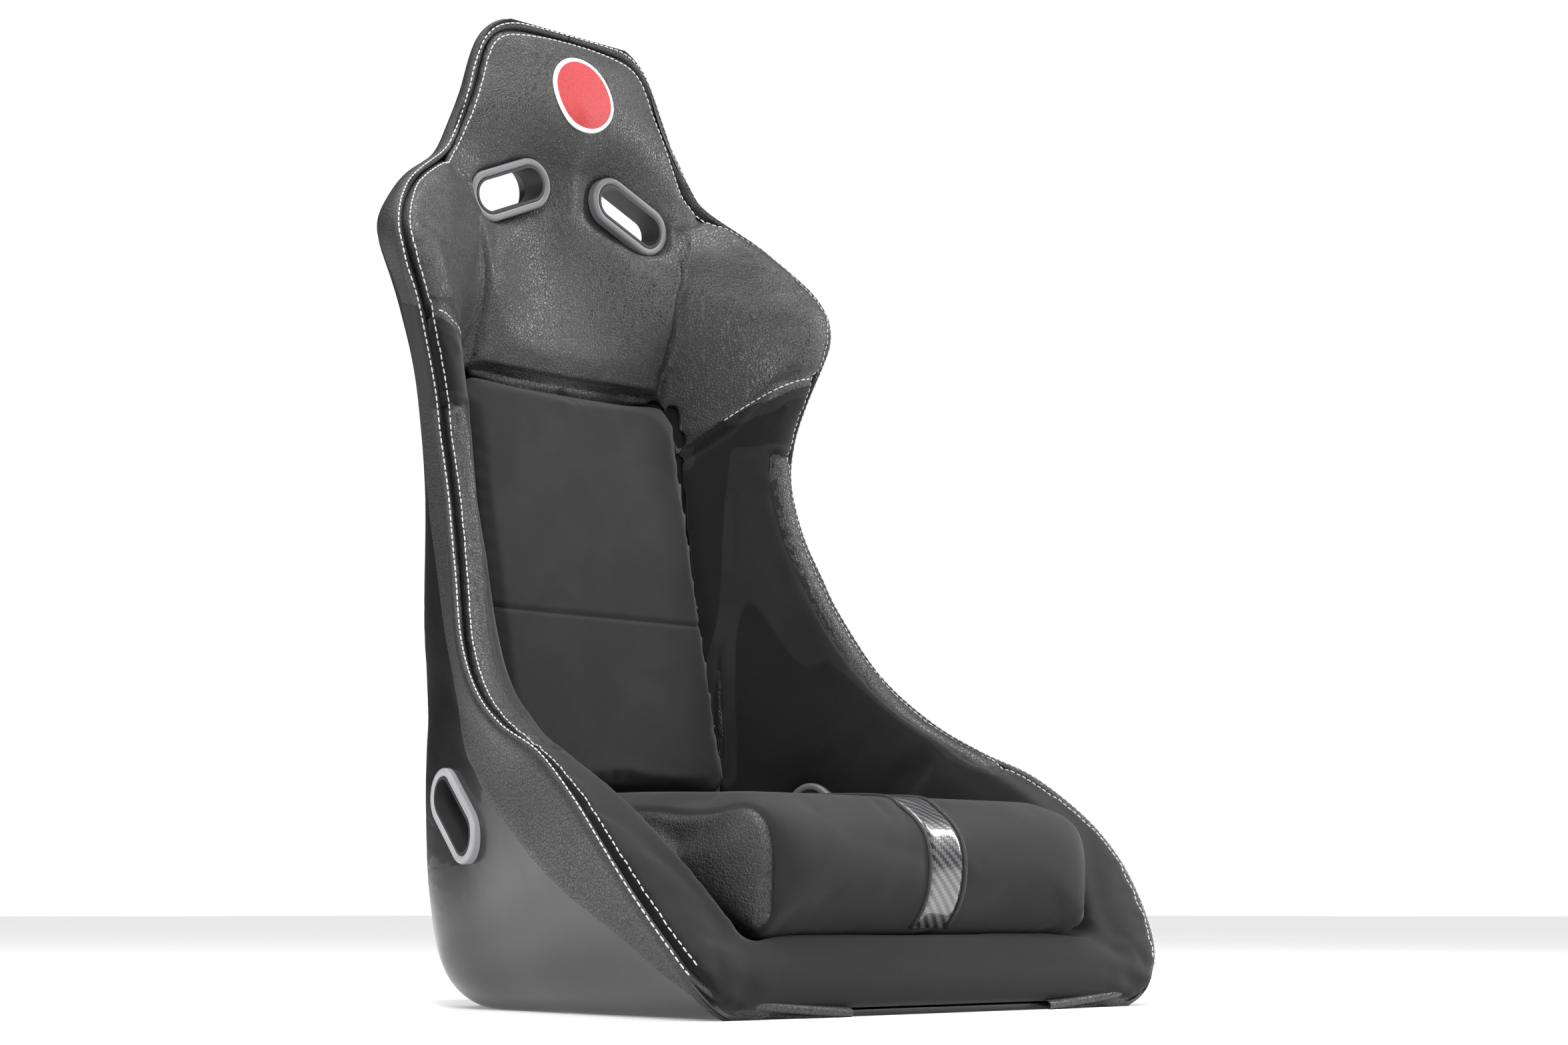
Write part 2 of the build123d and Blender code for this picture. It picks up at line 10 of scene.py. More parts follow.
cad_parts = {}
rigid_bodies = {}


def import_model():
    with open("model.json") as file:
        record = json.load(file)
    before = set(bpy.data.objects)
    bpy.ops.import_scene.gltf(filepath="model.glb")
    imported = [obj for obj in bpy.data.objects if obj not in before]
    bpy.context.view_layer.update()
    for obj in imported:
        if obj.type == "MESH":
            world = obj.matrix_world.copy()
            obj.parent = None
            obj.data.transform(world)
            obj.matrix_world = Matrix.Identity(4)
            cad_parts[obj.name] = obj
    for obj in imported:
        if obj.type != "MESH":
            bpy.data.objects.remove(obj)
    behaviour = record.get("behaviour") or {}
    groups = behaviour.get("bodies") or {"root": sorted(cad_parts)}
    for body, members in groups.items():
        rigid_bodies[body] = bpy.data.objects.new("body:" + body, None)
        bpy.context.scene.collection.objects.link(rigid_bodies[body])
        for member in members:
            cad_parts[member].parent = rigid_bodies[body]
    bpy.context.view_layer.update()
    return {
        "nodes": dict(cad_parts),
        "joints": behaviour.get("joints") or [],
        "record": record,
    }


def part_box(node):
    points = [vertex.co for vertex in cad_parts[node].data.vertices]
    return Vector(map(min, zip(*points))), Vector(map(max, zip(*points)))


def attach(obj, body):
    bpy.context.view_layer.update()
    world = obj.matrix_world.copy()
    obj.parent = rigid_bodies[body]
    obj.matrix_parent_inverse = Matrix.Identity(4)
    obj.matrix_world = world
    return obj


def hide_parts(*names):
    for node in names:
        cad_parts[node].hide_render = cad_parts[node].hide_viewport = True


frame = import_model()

bl_info = {
    "name": "Racing seat upholstery",
    "version": (1, 0, 0),
    "blender": (4, 5, 0),
    "location": "3D View > Sidebar > Seat",
    "description": "Covers, pads, stitching and finishes of a fixed-back racing seat",
    "category": "Object",
}

# ---------------------------------------------------------------- places taken from the frame
TAPE_FRONT = -0.1325        # front edge of the base tapes before the seat was centred
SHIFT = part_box("base_loop_tapes")[0].y - TAPE_FRONT
END_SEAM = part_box("cushion_end_right")[0].x
BADGE_LOW, BADGE_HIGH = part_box("headrest_badge")

# Seam along the rim, right side, from the top of the headrest down to the front: across, back, up.
RIM = [
    (0.0, 0.2275, 0.9035), (0.036, 0.227, 0.9030), (0.066, 0.226, 0.9010), (0.086, 0.2275, 0.8945),
    (0.100, 0.228, 0.882), (0.109, 0.227, 0.866), (0.1165, 0.2255, 0.848), (0.123, 0.223, 0.8295),
    (0.132, 0.2205, 0.807), (0.146, 0.215, 0.781), (0.1625, 0.209, 0.759), (0.2075, 0.186, 0.729),
    (0.229, 0.175, 0.712), (0.247, 0.161, 0.693), (0.258, 0.1505, 0.677), (0.2645, 0.142, 0.659),
    (0.2640, 0.137, 0.643), (0.260, 0.135, 0.625), (0.248, 0.136, 0.600), (0.231, 0.142, 0.559),
    (0.220, 0.1445, 0.524), (0.215, 0.143, 0.486), (0.217, 0.1295, 0.437), (0.2255, 0.1125, 0.3945),
    (0.2335, 0.097, 0.359), (0.254, 0.063, 0.299), (0.275, 0.0175, 0.254), (0.2905, -0.032, 0.224),
    (0.298, -0.087, 0.200), (0.3065, -0.137, 0.164), (0.309, -0.171, 0.130), (0.304, -0.198, 0.095),
    (0.291, -0.224, 0.056), (0.273, -0.237, 0.029), (0.245, -0.243, 0.015), (0.205, -0.2465, 0.009),
    (0.160, -0.2485, 0.005), (0.118, -0.2495, 0.002),
]
# Rear edge of the leather edge band in side view, from the neck to the front: back, up.
BAND_REAR = [
    (0.226, 0.762), (0.216, 0.725), (0.196, 0.690), (0.181, 0.650), (0.176, 0.600), (0.184, 0.540),
    (0.183, 0.480), (0.166, 0.420), (0.142, 0.365), (0.121, 0.313), (0.095, 0.272), (0.066, 0.221),
    (0.043, 0.203), (-0.023, 0.149), (-0.083, 0.108), (-0.129, 0.078), (-0.168, 0.052),
    (-0.197, 0.031), (-0.216, 0.017), (-0.232, 0.006),
]
NECK_Z = 0.762
BAND_END = 33               # rim point where the band's stitching ends
# Stitching above the seam between a shoulder wing and its side pad.
WING_STITCH = [
    (0.252, 0.130, 0.5925), (0.232, 0.136, 0.590), (0.210, 0.142, 0.583), (0.180, 0.157, 0.566),
    (0.150, 0.172, 0.542), (0.137, 0.212, 0.514),
]
# Side view of the seat cushion, from its front lower edge over the nose to the rear: back, up.
NOSE = [
    (-0.229, 0.0635), (-0.247, 0.088), (-0.253, 0.116), (-0.245, 0.146), (-0.222, 0.162),
    (-0.186, 0.168), (-0.10, 0.1705), (0.0, 0.1735), (0.125, 0.1755),
]


def length(name, words, value):
    """A size setting in metres."""
    return FloatProperty(name=name, description=words, default=value, unit="LENGTH")


def count(name, words, value):
    """A whole-number setting."""
    return IntProperty(name=name, description=words, default=value)


def tint(name, words, value):
    """A colour setting."""
    return FloatVectorProperty(name=name, description=words, subtype="COLOR", default=value)


class SeatSizes(bpy.types.PropertyGroup):
    """Sizes of the sewn work."""

    voxel: length("Pad mesh size", "Mesh size of a pad before it swells", 0.0045)
    fine_voxel: length("Back pad mesh size", "Mesh size of the back pad before it swells", 0.004)
    lining: length("Lining mesh size", "Mesh size of the fixed pads before they swell", 0.0055)
    foam_voxel: length("Foam mesh size", "Mesh size of the cut foams", 0.006)
    cover: length("Cover", "How far the lift-out pads' covers stand off their foam", 0.0018)
    tuck: length("Tuck", "How far the fixed pads' covers draw in before they swell", 0.0012)
    groove: length("Seam width", "Half the width of a sewn groove", 0.0042)
    groove_deep: length("Seam depth", "Depth of a sewn groove", 0.0024)
    pressure: FloatProperty(
        name="Foam pressure", description="How hard the foam pushes its cover out", default=4.0)
    swell: length("Swell", "Most that a fixed pad's cover moves out", 0.003)
    crown: length("Crown", "Most that the lift-out pads' covers move out", 0.0065)
    frames: count("Frames", "Length of each swelling run", 20)
    rounding: count("Rounding", "Smoothing steps for the cushion's corners", 110)
    stitch: length("Stitch", "Length of one stitch", 0.0050)
    pitch: length("Pitch", "From one stitch to the next", 0.0062)
    thread: length("Thread", "Radius of the thread", 0.00062)
    inner_row: length("Inner row", "From the rim's groove to the pads' row of stitches", 0.0075)
    band: length("Band", "Thickness of the leather edge band", 0.0024)
    piping: length("Piping", "Radius of the cushion's piping", 0.0018)


class SeatColours(bpy.types.PropertyGroup):
    """Colours of the finishes."""

    leather: tint("Leather", "Pads, bands and headrest", (0.014, 0.0143, 0.014))
    suede: tint("Suede", "Cushions and inner faces", (0.011, 0.011, 0.0112))
    shell: tint("Shell", "Moulded shell", (0.006, 0.006, 0.0062))
    bezel: tint("Slot bezels", "Rings round the harness slots", (0.13, 0.13, 0.135))
    thread: tint("Thread", "Decorative stitching", (0.55, 0.55, 0.54))
    badge: tint("Badge", "Ground of the headrest badge", (0.38, 0.012, 0.016))
    foam: tint("Foam", "Foam under the lift-out pads", (0.075, 0.075, 0.08))


# The pads fixed in the shell: each visual piece and its CAD nodes. The suede comes last.
LINING = {
    "back_panel_leather": ["upper_back_panel"],
    "wing_leather_right": ["shoulder_wing_right"],
    "wing_leather_left": ["shoulder_wing_left"],
    "bolster_leather_right": ["bolster_right"],
    "bolster_leather_left": ["bolster_left"],
    "side_and_front_suede": ["front_roll", "side_pad_left", "side_pad_right", "thigh_pad_left",
                             "thigh_pad_right"],
}
WING_HEM = 0.0045           # from the wings' stitching to the lower edge of their leather
GLUED = 0.004               # a fixed pad is held where it lies this close to the shell
SEAM_REACH = 0.012          # how far from a seam its gap is measured


# ---------------------------------------------------------------- shared modelling steps
def sizes():
    """The seat's size settings."""
    return bpy.context.scene.seat_sizes


def colours():
    """The seat's colour settings, as (r, g, b, 1)."""
    chosen = bpy.context.scene.seat_colours
    return {key: (*getattr(chosen, key), 1.0) for key in chosen.__annotations__}


def activate(piece):
    """Only piece is selected, and it is the active object."""
    bpy.ops.object.select_all(action="DESELECT")
    piece.select_set(True)
    bpy.context.view_layer.objects.active = piece


def modify(piece, kind, **settings):
    """Adds one modifier and applies it."""
    step = piece.modifiers.new(kind.title(), kind)
    for key, value in settings.items():
        setattr(step, key, value)
    activate(piece)
    bpy.ops.object.modifier_apply(modifier=step.name)


def edit(piece, *steps):
    """Runs edit-mode steps on the whole of a piece."""
    activate(piece)
    bpy.ops.object.mode_set(mode="EDIT")
    bpy.ops.mesh.select_all(action="SELECT")
    for step in steps:
        step()
    bpy.ops.object.mode_set(mode="OBJECT")


def finish(piece, body, material, slot, *nodes, fill=None):
    """Gives a piece its finish and its body, and hides the CAD nodes that it stands for."""
    piece.data.materials.clear()
    piece.data.materials.append(material)
    piece.data.shade_smooth()
    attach(piece, body)
    if nodes:
        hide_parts(*nodes)
    return piece


def node_copy(name, nodes):
    """A new mesh from copies of CAD nodes, merged."""
    copies = []
    for node in nodes:
        copy = bpy.data.objects.new(name, frame["nodes"][node].data.copy())
        bpy.context.collection.objects.link(copy)
        copies.append(copy)
    activate(copies[0])
    for copy in copies:
        copy.select_set(True)
    if len(copies) > 1:
        bpy.ops.object.join()
    piece = copies[0]
    piece.name = name
    edit(piece, lambda: bpy.ops.mesh.remove_doubles(threshold=1e-5))
    return piece


def other_side(piece, name):
    """The same piece for the left side."""
    twin = bpy.data.objects.new(name, piece.data.copy())
    bpy.context.collection.objects.link(twin)
    twin.data.transform(Matrix.Scale(-1, 4, (1, 0, 0)))
    twin.data.flip_normals()
    return twin


def shape_grid(name, rows):
    """A grid of faces whose points are given row by row."""
    bpy.ops.object.select_all(action="DESELECT")
    bpy.ops.mesh.primitive_grid_add(
        x_subdivisions=len(rows[0]) - 1, y_subdivisions=len(rows) - 1, calc_uvs=True)
    piece = bpy.context.object
    piece.name = name
    flat = [value for row in rows for point in row for value in point]
    piece.data.vertices.foreach_set("co", flat)
    piece.data.update()
    return piece


def smooth_path(points, step):
    """Evenly spaced points on a smooth curve through the given ones."""
    points = [Vector(p) for p in points]
    ends = [2 * points[0] - points[1]] + points + [2 * points[-1] - points[-2]]
    fine = []
    for a, b, c, d in zip(ends, ends[1:], ends[2:], ends[3:]):
        for k in range(12):
            t = k / 12
            fine.append(0.5 * (2 * b + (c - a) * t + (2 * a - 5 * b + 4 * c - d) * t * t
                               + (3 * b - a - 3 * c + d) * t ** 3))
    fine.append(points[-1])
    lengths = [0.0]
    for a, b in zip(fine, fine[1:]):
        lengths.append(lengths[-1] + (b - a).length)
    count = max(2, round(lengths[-1] / step))
    even, at = [], 0
    for k in range(count + 1):
        want = lengths[-1] * k / count
        while at < len(fine) - 2 and lengths[at + 1] < want:
            at += 1
        run = lengths[at + 1] - lengths[at]
        even.append(fine[at].lerp(fine[at + 1], (want - lengths[at]) / run if run else 0.0))
    return even


def moved(points):
    """Guide points moved with the seat when it was centred."""
    return [Vector(p) + Vector((0, SHIFT, 0)) for p in points]


def surface(pieces):
    """A search tree of several meshes together."""
    points, faces = [], []
    for piece in pieces:
        base = len(points)
        points += [v.co.copy() for v in piece.data.vertices]
        faces += [[base + i for i in f.vertices] for f in piece.data.polygons]
    return BVHTree.FromPolygons(points, faces)


def swell(piece, pressure, cap, held=None):
    """Cloth run: the foam's pressure pushes the cover out, by at most cap."""
    rest = [v.co.copy() for v in piece.data.vertices]
    step = piece.modifiers.new("Cover", "CLOTH")
    cloth = step.settings
    cloth.use_pressure = True
    cloth.uniform_pressure_force = pressure
    cloth.effector_weights.gravity = 0
    cloth.quality = 4
    cloth.mass = 0.3
    if held:
        group = piece.vertex_groups.new(name="held")
        group.add([i for i, co in enumerate(rest) if held(co)], 1.0, "REPLACE")
        cloth.vertex_group_mass = group.name
    scene = bpy.context.scene
    frames = sizes().frames
    step.point_cache.frame_start, step.point_cache.frame_end = 1, frames
    for frame_number in range(1, frames + 1):
        scene.frame_set(frame_number)
    activate(piece)
    bpy.ops.object.modifier_apply(modifier=step.name)
    scene.frame_set(1)
    for vertex, start in zip(piece.data.vertices, rest):
        move = vertex.co - start
        if move.length > cap:
            vertex.co = start + move * (cap / move.length)


def upholster(name, nodes, cap, voxel, shrink, soften, held=None):
    """A padded piece from CAD solids: remeshed, rounded, swollen and subdivided."""
    piece = node_copy(name, nodes)
    modify(piece, "REMESH", mode="VOXEL", voxel_size=voxel)
    edit(piece, lambda: bpy.ops.transform.shrink_fatten(value=-shrink))
    modify(piece, "SMOOTH", factor=0.5, iterations=soften)
    swell(piece, sizes().pressure, cap, held)
    relax(piece)
    return piece


def relax(piece):
    """Evens out a swollen cover, and gives it a finer mesh."""
    modify(piece, "SMOOTH", factor=0.5, iterations=3)
    modify(piece, "SUBSURF", levels=1, render_levels=1)


# ---------------------------------------------------------------- finishes
def add(tree, kind, feeds=None, **settings):
    """A shader node with its settings, and its inputs as values or sockets."""
    node = tree.nodes.new(kind)
    for key, value in settings.items():
        setattr(node, key, value)
    for socket, value in (feeds or {}).items():
        if isinstance(value, bpy.types.NodeSocket):
            tree.links.new(value, node.inputs[socket])
        else:
            node.inputs[socket].default_value = value
    return node


def maths(tree, operation, a, b=0.0):
    """One Math node's output."""
    return add(tree, "ShaderNodeMath", {0: a, 1: b}, operation=operation).outputs[0]


def spread(tree, value, low, high, to_low=0.0, to_high=1.0, smooth=True):
    """A value mapped from one range to another, held at the ends."""
    node = add(tree, "ShaderNodeMapRange", {0: value, 1: low, 2: high, 3: to_low, 4: to_high},
               interpolation_type="SMOOTHSTEP" if smooth else "LINEAR")
    return node.outputs[0]


def blend_colour(tree, factor, a, b):
    """Two colours mixed by a factor."""
    node = add(tree, "ShaderNodeMix", data_type="RGBA")
    for index, value in ((0, factor), (6, a), (7, b)):
        if isinstance(value, bpy.types.NodeSocket):
            tree.links.new(value, node.inputs[index])
        else:
            node.inputs[index].default_value = value
    return node.outputs[2]


def new_group(name, inputs, outputs):
    """A shader node group with named sockets."""
    tree = bpy.data.node_groups.new(name, "ShaderNodeTree")
    kinds = {"v": "NodeSocketVector", "f": "NodeSocketFloat"}
    for label, kind, default in inputs:
        socket = tree.interface.new_socket(label, in_out="INPUT", socket_type=kinds[kind])
        if default is not None:
            socket.default_value = default
    for label in outputs:
        tree.interface.new_socket(label, in_out="OUTPUT", socket_type=kinds["f"])
    return tree, add(tree, "NodeGroupInput").outputs, add(tree, "NodeGroupOutput").inputs


def grain_group():
    """Pebbled leather grain: cells of a given size with creases between them."""
    tree, feed, out = new_group(
        "Leather grain", [("Place", "v", None), ("Cell", "f", 0.003)], ["Height", "Crease"])
    size = maths(tree, "DIVIDE", 1.0, feed["Cell"])
    coarse = maths(tree, "MULTIPLY", size, 0.35)
    warp = add(tree, "ShaderNodeTexNoise", {"Vector": feed["Place"], "Scale": coarse, "Detail": 2.0})
    centred = add(tree, "ShaderNodeVectorMath", {0: warp.outputs["Color"], 1: (0.5, 0.5, 0.5)},
                  operation="SUBTRACT")
    push = add(tree, "ShaderNodeVectorMath", {0: centred.outputs[0]}, operation="SCALE")
    tree.links.new(maths(tree, "MULTIPLY", feed["Cell"], 2.2), push.inputs["Scale"])
    place = add(tree, "ShaderNodeVectorMath", {0: feed["Place"], 1: push.outputs[0]}).outputs[0]
    cells = add(tree, "ShaderNodeTexVoronoi", {"Vector": place, "Scale": size, "Randomness": 0.9},
                feature="DISTANCE_TO_EDGE")
    small = add(tree, "ShaderNodeTexVoronoi",
                {"Vector": place, "Scale": maths(tree, "MULTIPLY", size, 2.1), "Randomness": 1.0},
                feature="DISTANCE_TO_EDGE")
    plateau = spread(tree, cells.outputs["Distance"], 0.0, 0.16)
    wrinkle = spread(tree, small.outputs["Distance"], 0.0, 0.2)
    both = maths(tree, "ADD", maths(tree, "MULTIPLY", plateau, 0.68),
                 maths(tree, "MULTIPLY", wrinkle, 0.22))
    pores = add(tree, "ShaderNodeTexNoise",
                {"Vector": feed["Place"], "Scale": maths(tree, "MULTIPLY", size, 6.0), "Detail": 2.0})
    height = maths(tree, "ADD", both, maths(tree, "MULTIPLY", pores.outputs["Fac"], 0.1))
    tree.links.new(height, out["Height"])
    tree.links.new(maths(tree, "SUBTRACT", 1.0, plateau), out["Crease"])
    return tree


def nap_group():
    """Brushed nap: short fibres, and soft patches where they lie another way."""
    tree, feed, out = new_group(
        "Suede nap", [("Place", "v", None), ("Fibre", "f", 0.0006)], ["Height", "Patch"])
    size = maths(tree, "DIVIDE", 1.0, feed["Fibre"])
    fibres = add(tree, "ShaderNodeTexNoise",
                 {"Vector": feed["Place"], "Scale": size, "Detail": 3.0, "Roughness": 0.7})
    patches = add(tree, "ShaderNodeTexNoise",
                  {"Vector": feed["Place"], "Scale": 14.0, "Detail": 3.0, "Distortion": 0.6})
    tree.links.new(fibres.outputs["Fac"], out["Height"])
    tree.links.new(spread(tree, patches.outputs["Fac"], 0.35, 0.68), out["Patch"])
    return tree


def mottle_group():
    """Slow and fine unevenness of a moulded or cast face."""
    tree, feed, out = new_group(
        "Moulded face", [("Place", "v", None), ("Grain", "f", 0.0008)], ["Fine", "Slow"])
    fine = add(tree, "ShaderNodeTexNoise",
               {"Vector": feed["Place"], "Scale": maths(tree, "DIVIDE", 1.0, feed["Grain"]),
                "Detail": 2.0})
    slow = add(tree, "ShaderNodeTexNoise", {"Vector": feed["Place"], "Scale": 9.0, "Detail": 3.0})
    tree.links.new(fine.outputs["Fac"], out["Fine"])
    tree.links.new(slow.outputs["Fac"], out["Slow"])
    return tree


def weave_group():
    """Two-by-two twill: Height is the tow's crown and Side says which way the tow runs."""
    tree, feed, out = new_group(
        "Twill weave", [("Place", "v", None), ("Tow", "f", 0.0028)], ["Height", "Side"])
    scaled = add(tree, "ShaderNodeVectorMath", {0: feed["Place"]}, operation="SCALE")
    tree.links.new(maths(tree, "DIVIDE", 1.0, feed["Tow"]), scaled.inputs["Scale"])
    parts = add(tree, "ShaderNodeSeparateXYZ", {0: scaled.outputs[0]}).outputs
    across, along = maths(tree, "FLOOR", parts[0]), maths(tree, "FLOOR", parts[1])
    turn = maths(tree, "FLOORED_MODULO", maths(tree, "ADD", across, along), 4.0)
    side = maths(tree, "LESS_THAN", turn, 1.5)
    crown = []
    for axis in (0, 1):
        inside = maths(tree, "SUBTRACT", maths(tree, "FRACT", parts[axis]), 0.5)
        fall = maths(tree, "MULTIPLY", maths(tree, "ABSOLUTE", inside), 1.6)
        crown.append(maths(tree, "SUBTRACT", 1.0, fall))
    mixed = add(tree, "ShaderNodeMix", {0: side, 2: crown[0], 3: crown[1]})
    tree.links.new(mixed.outputs[0], out["Height"])
    tree.links.new(side, out["Side"])
    return tree


def new_material(name):
    """A material with an empty Principled shader: its tree, shader and object place."""
    material = bpy.data.materials.new(name)
    material.use_nodes = True
    tree = material.node_tree
    shader = tree.nodes["Principled BSDF"]
    place = add(tree, "ShaderNodeTexCoord").outputs["Object"]
    return material, tree, shader, place


def use_group(tree, group, place, **values):
    """A node group placed in a material."""
    node = add(tree, "ShaderNodeGroup", node_tree=group)
    tree.links.new(place, node.inputs["Place"])
    for label, value in values.items():
        node.inputs[label].default_value = value
    return node.outputs


def bump(tree, shader, height, distance, strength=1.0):
    """Feeds a height to the shader's normal."""
    node = add(tree, "ShaderNodeBump", {"Height": height, "Distance": distance, "Strength": strength})
    tree.links.new(node.outputs[0], shader.inputs["Normal"])


def shade(colour, gain):
    """A colour made lighter or darker."""
    return (*[min(1.0, c * gain) for c in colour[:3]], 1.0)


def make_finishes():
    """All the seat's materials, by the record's slot names."""
    tone = colours()
    grain, nap, mottle, weave = grain_group(), nap_group(), mottle_group(), weave_group()
    made = {}

    def covered(name, cell, rough, suede):
        """Leather or suede, going over to the other one past a seam's edge, with painted shade along the
        seam grooves.
        """
        material, tree, shader, place = new_material(name)
        edge = add(tree, "ShaderNodeAttribute", attribute_name="edge").outputs["Fac"]
        seam = add(tree, "ShaderNodeAttribute", attribute_name="seam").outputs["Fac"]
        other = spread(tree, edge, 0.9994, 1.0006)
        if suede:
            other = maths(tree, "MAXIMUM", other, maths(tree, "LESS_THAN", edge, 0.5))
        # Mask of painted shade: a near-black stripe along each seam groove.
        seam_groove_shade = None
        for gap in (edge, seam):
            near = spread(tree, maths(tree, "ABSOLUTE", maths(tree, "SUBTRACT", gap, 1.0)),
                          0.0003, 0.0013, 1.0, 0.0)
            seam_groove_shade = near if seam_groove_shade is None else maths(tree, "MAXIMUM", seam_groove_shade, near)
        skin = use_group(tree, grain, place, Cell=cell)
        worn = use_group(tree, mottle, place, Grain=0.02)
        fibre = use_group(tree, nap, place, Fibre=0.0005)
        # Painted shade: the grain's creases darkened to 0.4 of the leather tone, so the cell tops read
        # lighter.
        hide = blend_colour(tree, skin["Crease"], tone["leather"], shade(tone["leather"], 0.4))
        wear = spread(tree, worn["Slow"], 0.3, 0.75)
        hide = blend_colour(tree, wear, hide, shade(tone["leather"], 1.25))
        cloth = blend_colour(tree, fibre["Patch"], shade(tone["suede"], 0.8), shade(tone["suede"], 1.2))
        base = blend_colour(tree, other, hide, cloth)
        # Painted shade: the seam grooves darkened to near black.
        base = blend_colour(tree, maths(tree, "MULTIPLY", seam_groove_shade, 0.85), base, (0.002, 0.002, 0.002, 1))
        tree.links.new(base, shader.inputs["Base Color"])
        smooth = spread(tree, skin["Crease"], 0.0, 1.0, rough, rough + 0.25)
        brushed = spread(tree, fibre["Height"], 0.3, 0.7, 0.84, 0.97)
        rough_mix = add(tree, "ShaderNodeMix", {0: other, 2: smooth, 3: brushed})
        tree.links.new(rough_mix.outputs[0], shader.inputs["Roughness"])
        height = add(tree, "ShaderNodeMix", {0: other, 2: skin["Height"],
                                             3: maths(tree, "MULTIPLY", fibre["Height"], 0.6)})
        shader.inputs["Specular IOR Level"].default_value = 0.22 if suede else 0.5
        shader.inputs["Sheen Weight"].default_value = 0.10 if suede else 0.0
        shader.inputs["Sheen Roughness"].default_value = 0.5
        bump(tree, shader, height.outputs[0], 0.0004, 0.9)
        return material

    made["leather_black"] = covered("Leather", 0.0032, 0.36, suede=False)
    made["piping_black"] = covered("Piping leather", 0.0016, 0.36, suede=False)
    made["suede_black"] = covered("Suede", 0.0032, 0.36, suede=True)

    def moulded(name, colour, rough, grain_size, depth, coat=0.0):
        material, tree, shader, place = new_material(name)
        face = use_group(tree, mottle, place, Grain=grain_size)
        base = blend_colour(tree, spread(tree, face["Slow"], 0.3, 0.7), shade(colour, 0.85),
                            shade(colour, 1.15))
        tree.links.new(base, shader.inputs["Base Color"])
        tree.links.new(spread(tree, face["Slow"], 0.3, 0.7, rough * 0.85, rough * 1.2),
                       shader.inputs["Roughness"])
        shader.inputs["Coat Weight"].default_value = coat
        shader.inputs["Coat Roughness"].default_value = 0.05
        shader.inputs["Specular IOR Level"].default_value = 0.3
        bump(tree, shader, face["Fine"], depth, 0.5)
        return material

    made["shell_gloss"] = moulded("Gloss shell", tone["shell"], 0.3, 0.02, 0.00012, coat=0.35)
    made["bezel_grey"] = moulded("Bezel plastic", tone["bezel"], 0.42, 0.0005, 0.00003)
    lighter = shade(tone["bezel"], 2.2)
    made["bezel_light"] = moulded("Light bezel plastic", lighter, 0.36, 0.0005, 0.00003)
    made["liner_black"] = moulded("Liner plastic", (0.02, 0.02, 0.021, 1), 0.5, 0.0008, 0.00006)
    made["foam_grey"] = moulded("Cut foam", tone["foam"], 0.95, 0.0012, 0.0006)
    made["tape_black"] = moulded("Hook and loop", (0.012, 0.012, 0.013, 1), 0.9, 0.0006, 0.0008)
    steel = moulded("Plated steel", (0.55, 0.55, 0.56, 1), 0.32, 0.0006, 0.00002)
    steel.node_tree.nodes["Principled BSDF"].inputs["Metallic"].default_value = 1.0
    made["zinc_steel"] = steel

    material, tree, shader, place = new_material("Carbon weave")
    coordinates = add(tree, "ShaderNodeTexCoord").outputs["UV"]
    cloth = use_group(tree, weave, coordinates, Tow=0.0026)
    base = blend_colour(tree, cloth["Side"], (0.012, 0.012, 0.013, 1), (0.10, 0.10, 0.105, 1))
    tree.links.new(base, shader.inputs["Base Color"])
    tree.links.new(spread(tree, cloth["Side"], 0.0, 1.0, 0.38, 0.3), shader.inputs["Roughness"])
    shader.inputs["Coat Weight"].default_value = 1.0
    shader.inputs["Coat Roughness"].default_value = 0.08
    bump(tree, shader, cloth["Height"], 0.0002, 0.5)
    made["carbon_weave"] = material

    material, tree, shader, place = new_material("Thread")
    twist = use_group(tree, mottle, place, Grain=0.0004)
    base = blend_colour(tree, twist["Fine"], shade(tone["thread"], 0.75), tone["thread"])
    tree.links.new(base, shader.inputs["Base Color"])
    shader.inputs["Roughness"].default_value = 0.6
    bump(tree, shader, twist["Fine"], 0.0001, 0.6)
    made["thread"] = material

    material, tree, shader, place = new_material("Badge")
    ring = add(tree, "ShaderNodeAttribute", attribute_name="ring").outputs["Fac"]
    fabric = use_group(tree, nap, place, Fibre=0.0009)
    skin = use_group(tree, grain, place, Cell=0.0022)
    # Painted shade: the badge grain's creases darkened to 0.6 of the red.
    ground = blend_colour(tree, skin["Crease"], tone["badge"], shade(tone["badge"], 0.6))
    base = blend_colour(tree, ring, ground, (0.72, 0.72, 0.72, 1))
    tree.links.new(base, shader.inputs["Base Color"])
    tree.links.new(spread(tree, fabric["Height"], 0.3, 0.7, 0.45, 0.62), shader.inputs["Roughness"])
    bump(tree, shader, skin["Height"], 0.00015, 0.6)
    made["badge_red"] = material
    return made


FINISH = {}


class SEAT_OT_finishes(bpy.types.Operator):
    """Make the finishes, and put them on the moulded and metal parts"""

    bl_idname = "seat.finishes"
    bl_label = "Finishes"

    def execute(self, context):
        FINISH.update(make_finishes())
        slots = {row["node"]: row["material_slot"] for row in frame["record"]["subparts"]}
        for name, node in frame["nodes"].items():
            node.data.materials.clear()
            light = name.startswith("hip_bezel_outer")
            node.data.materials.append(FINISH["bezel_light" if light else slots[name]])
        return {"FINISHED"}


# ---------------------------------------------------------------- leather edge band
def rim_stations():
    """Points of the rim seam with the directions outwards and forwards at each."""
    path = smooth_path(moved(RIM), 0.005)
    stations = []
    for k, point in enumerate(path):
        run = (path[min(k + 1, len(path) - 1)] - path[max(k - 1, 0)]).normalized()
        out = Vector((-run.z, 0, run.x)).normalized()
        fore = run.cross(out).normalized()
        if fore.y > 0:
            fore = -fore
        stations.append((point, out, fore))
    return stations


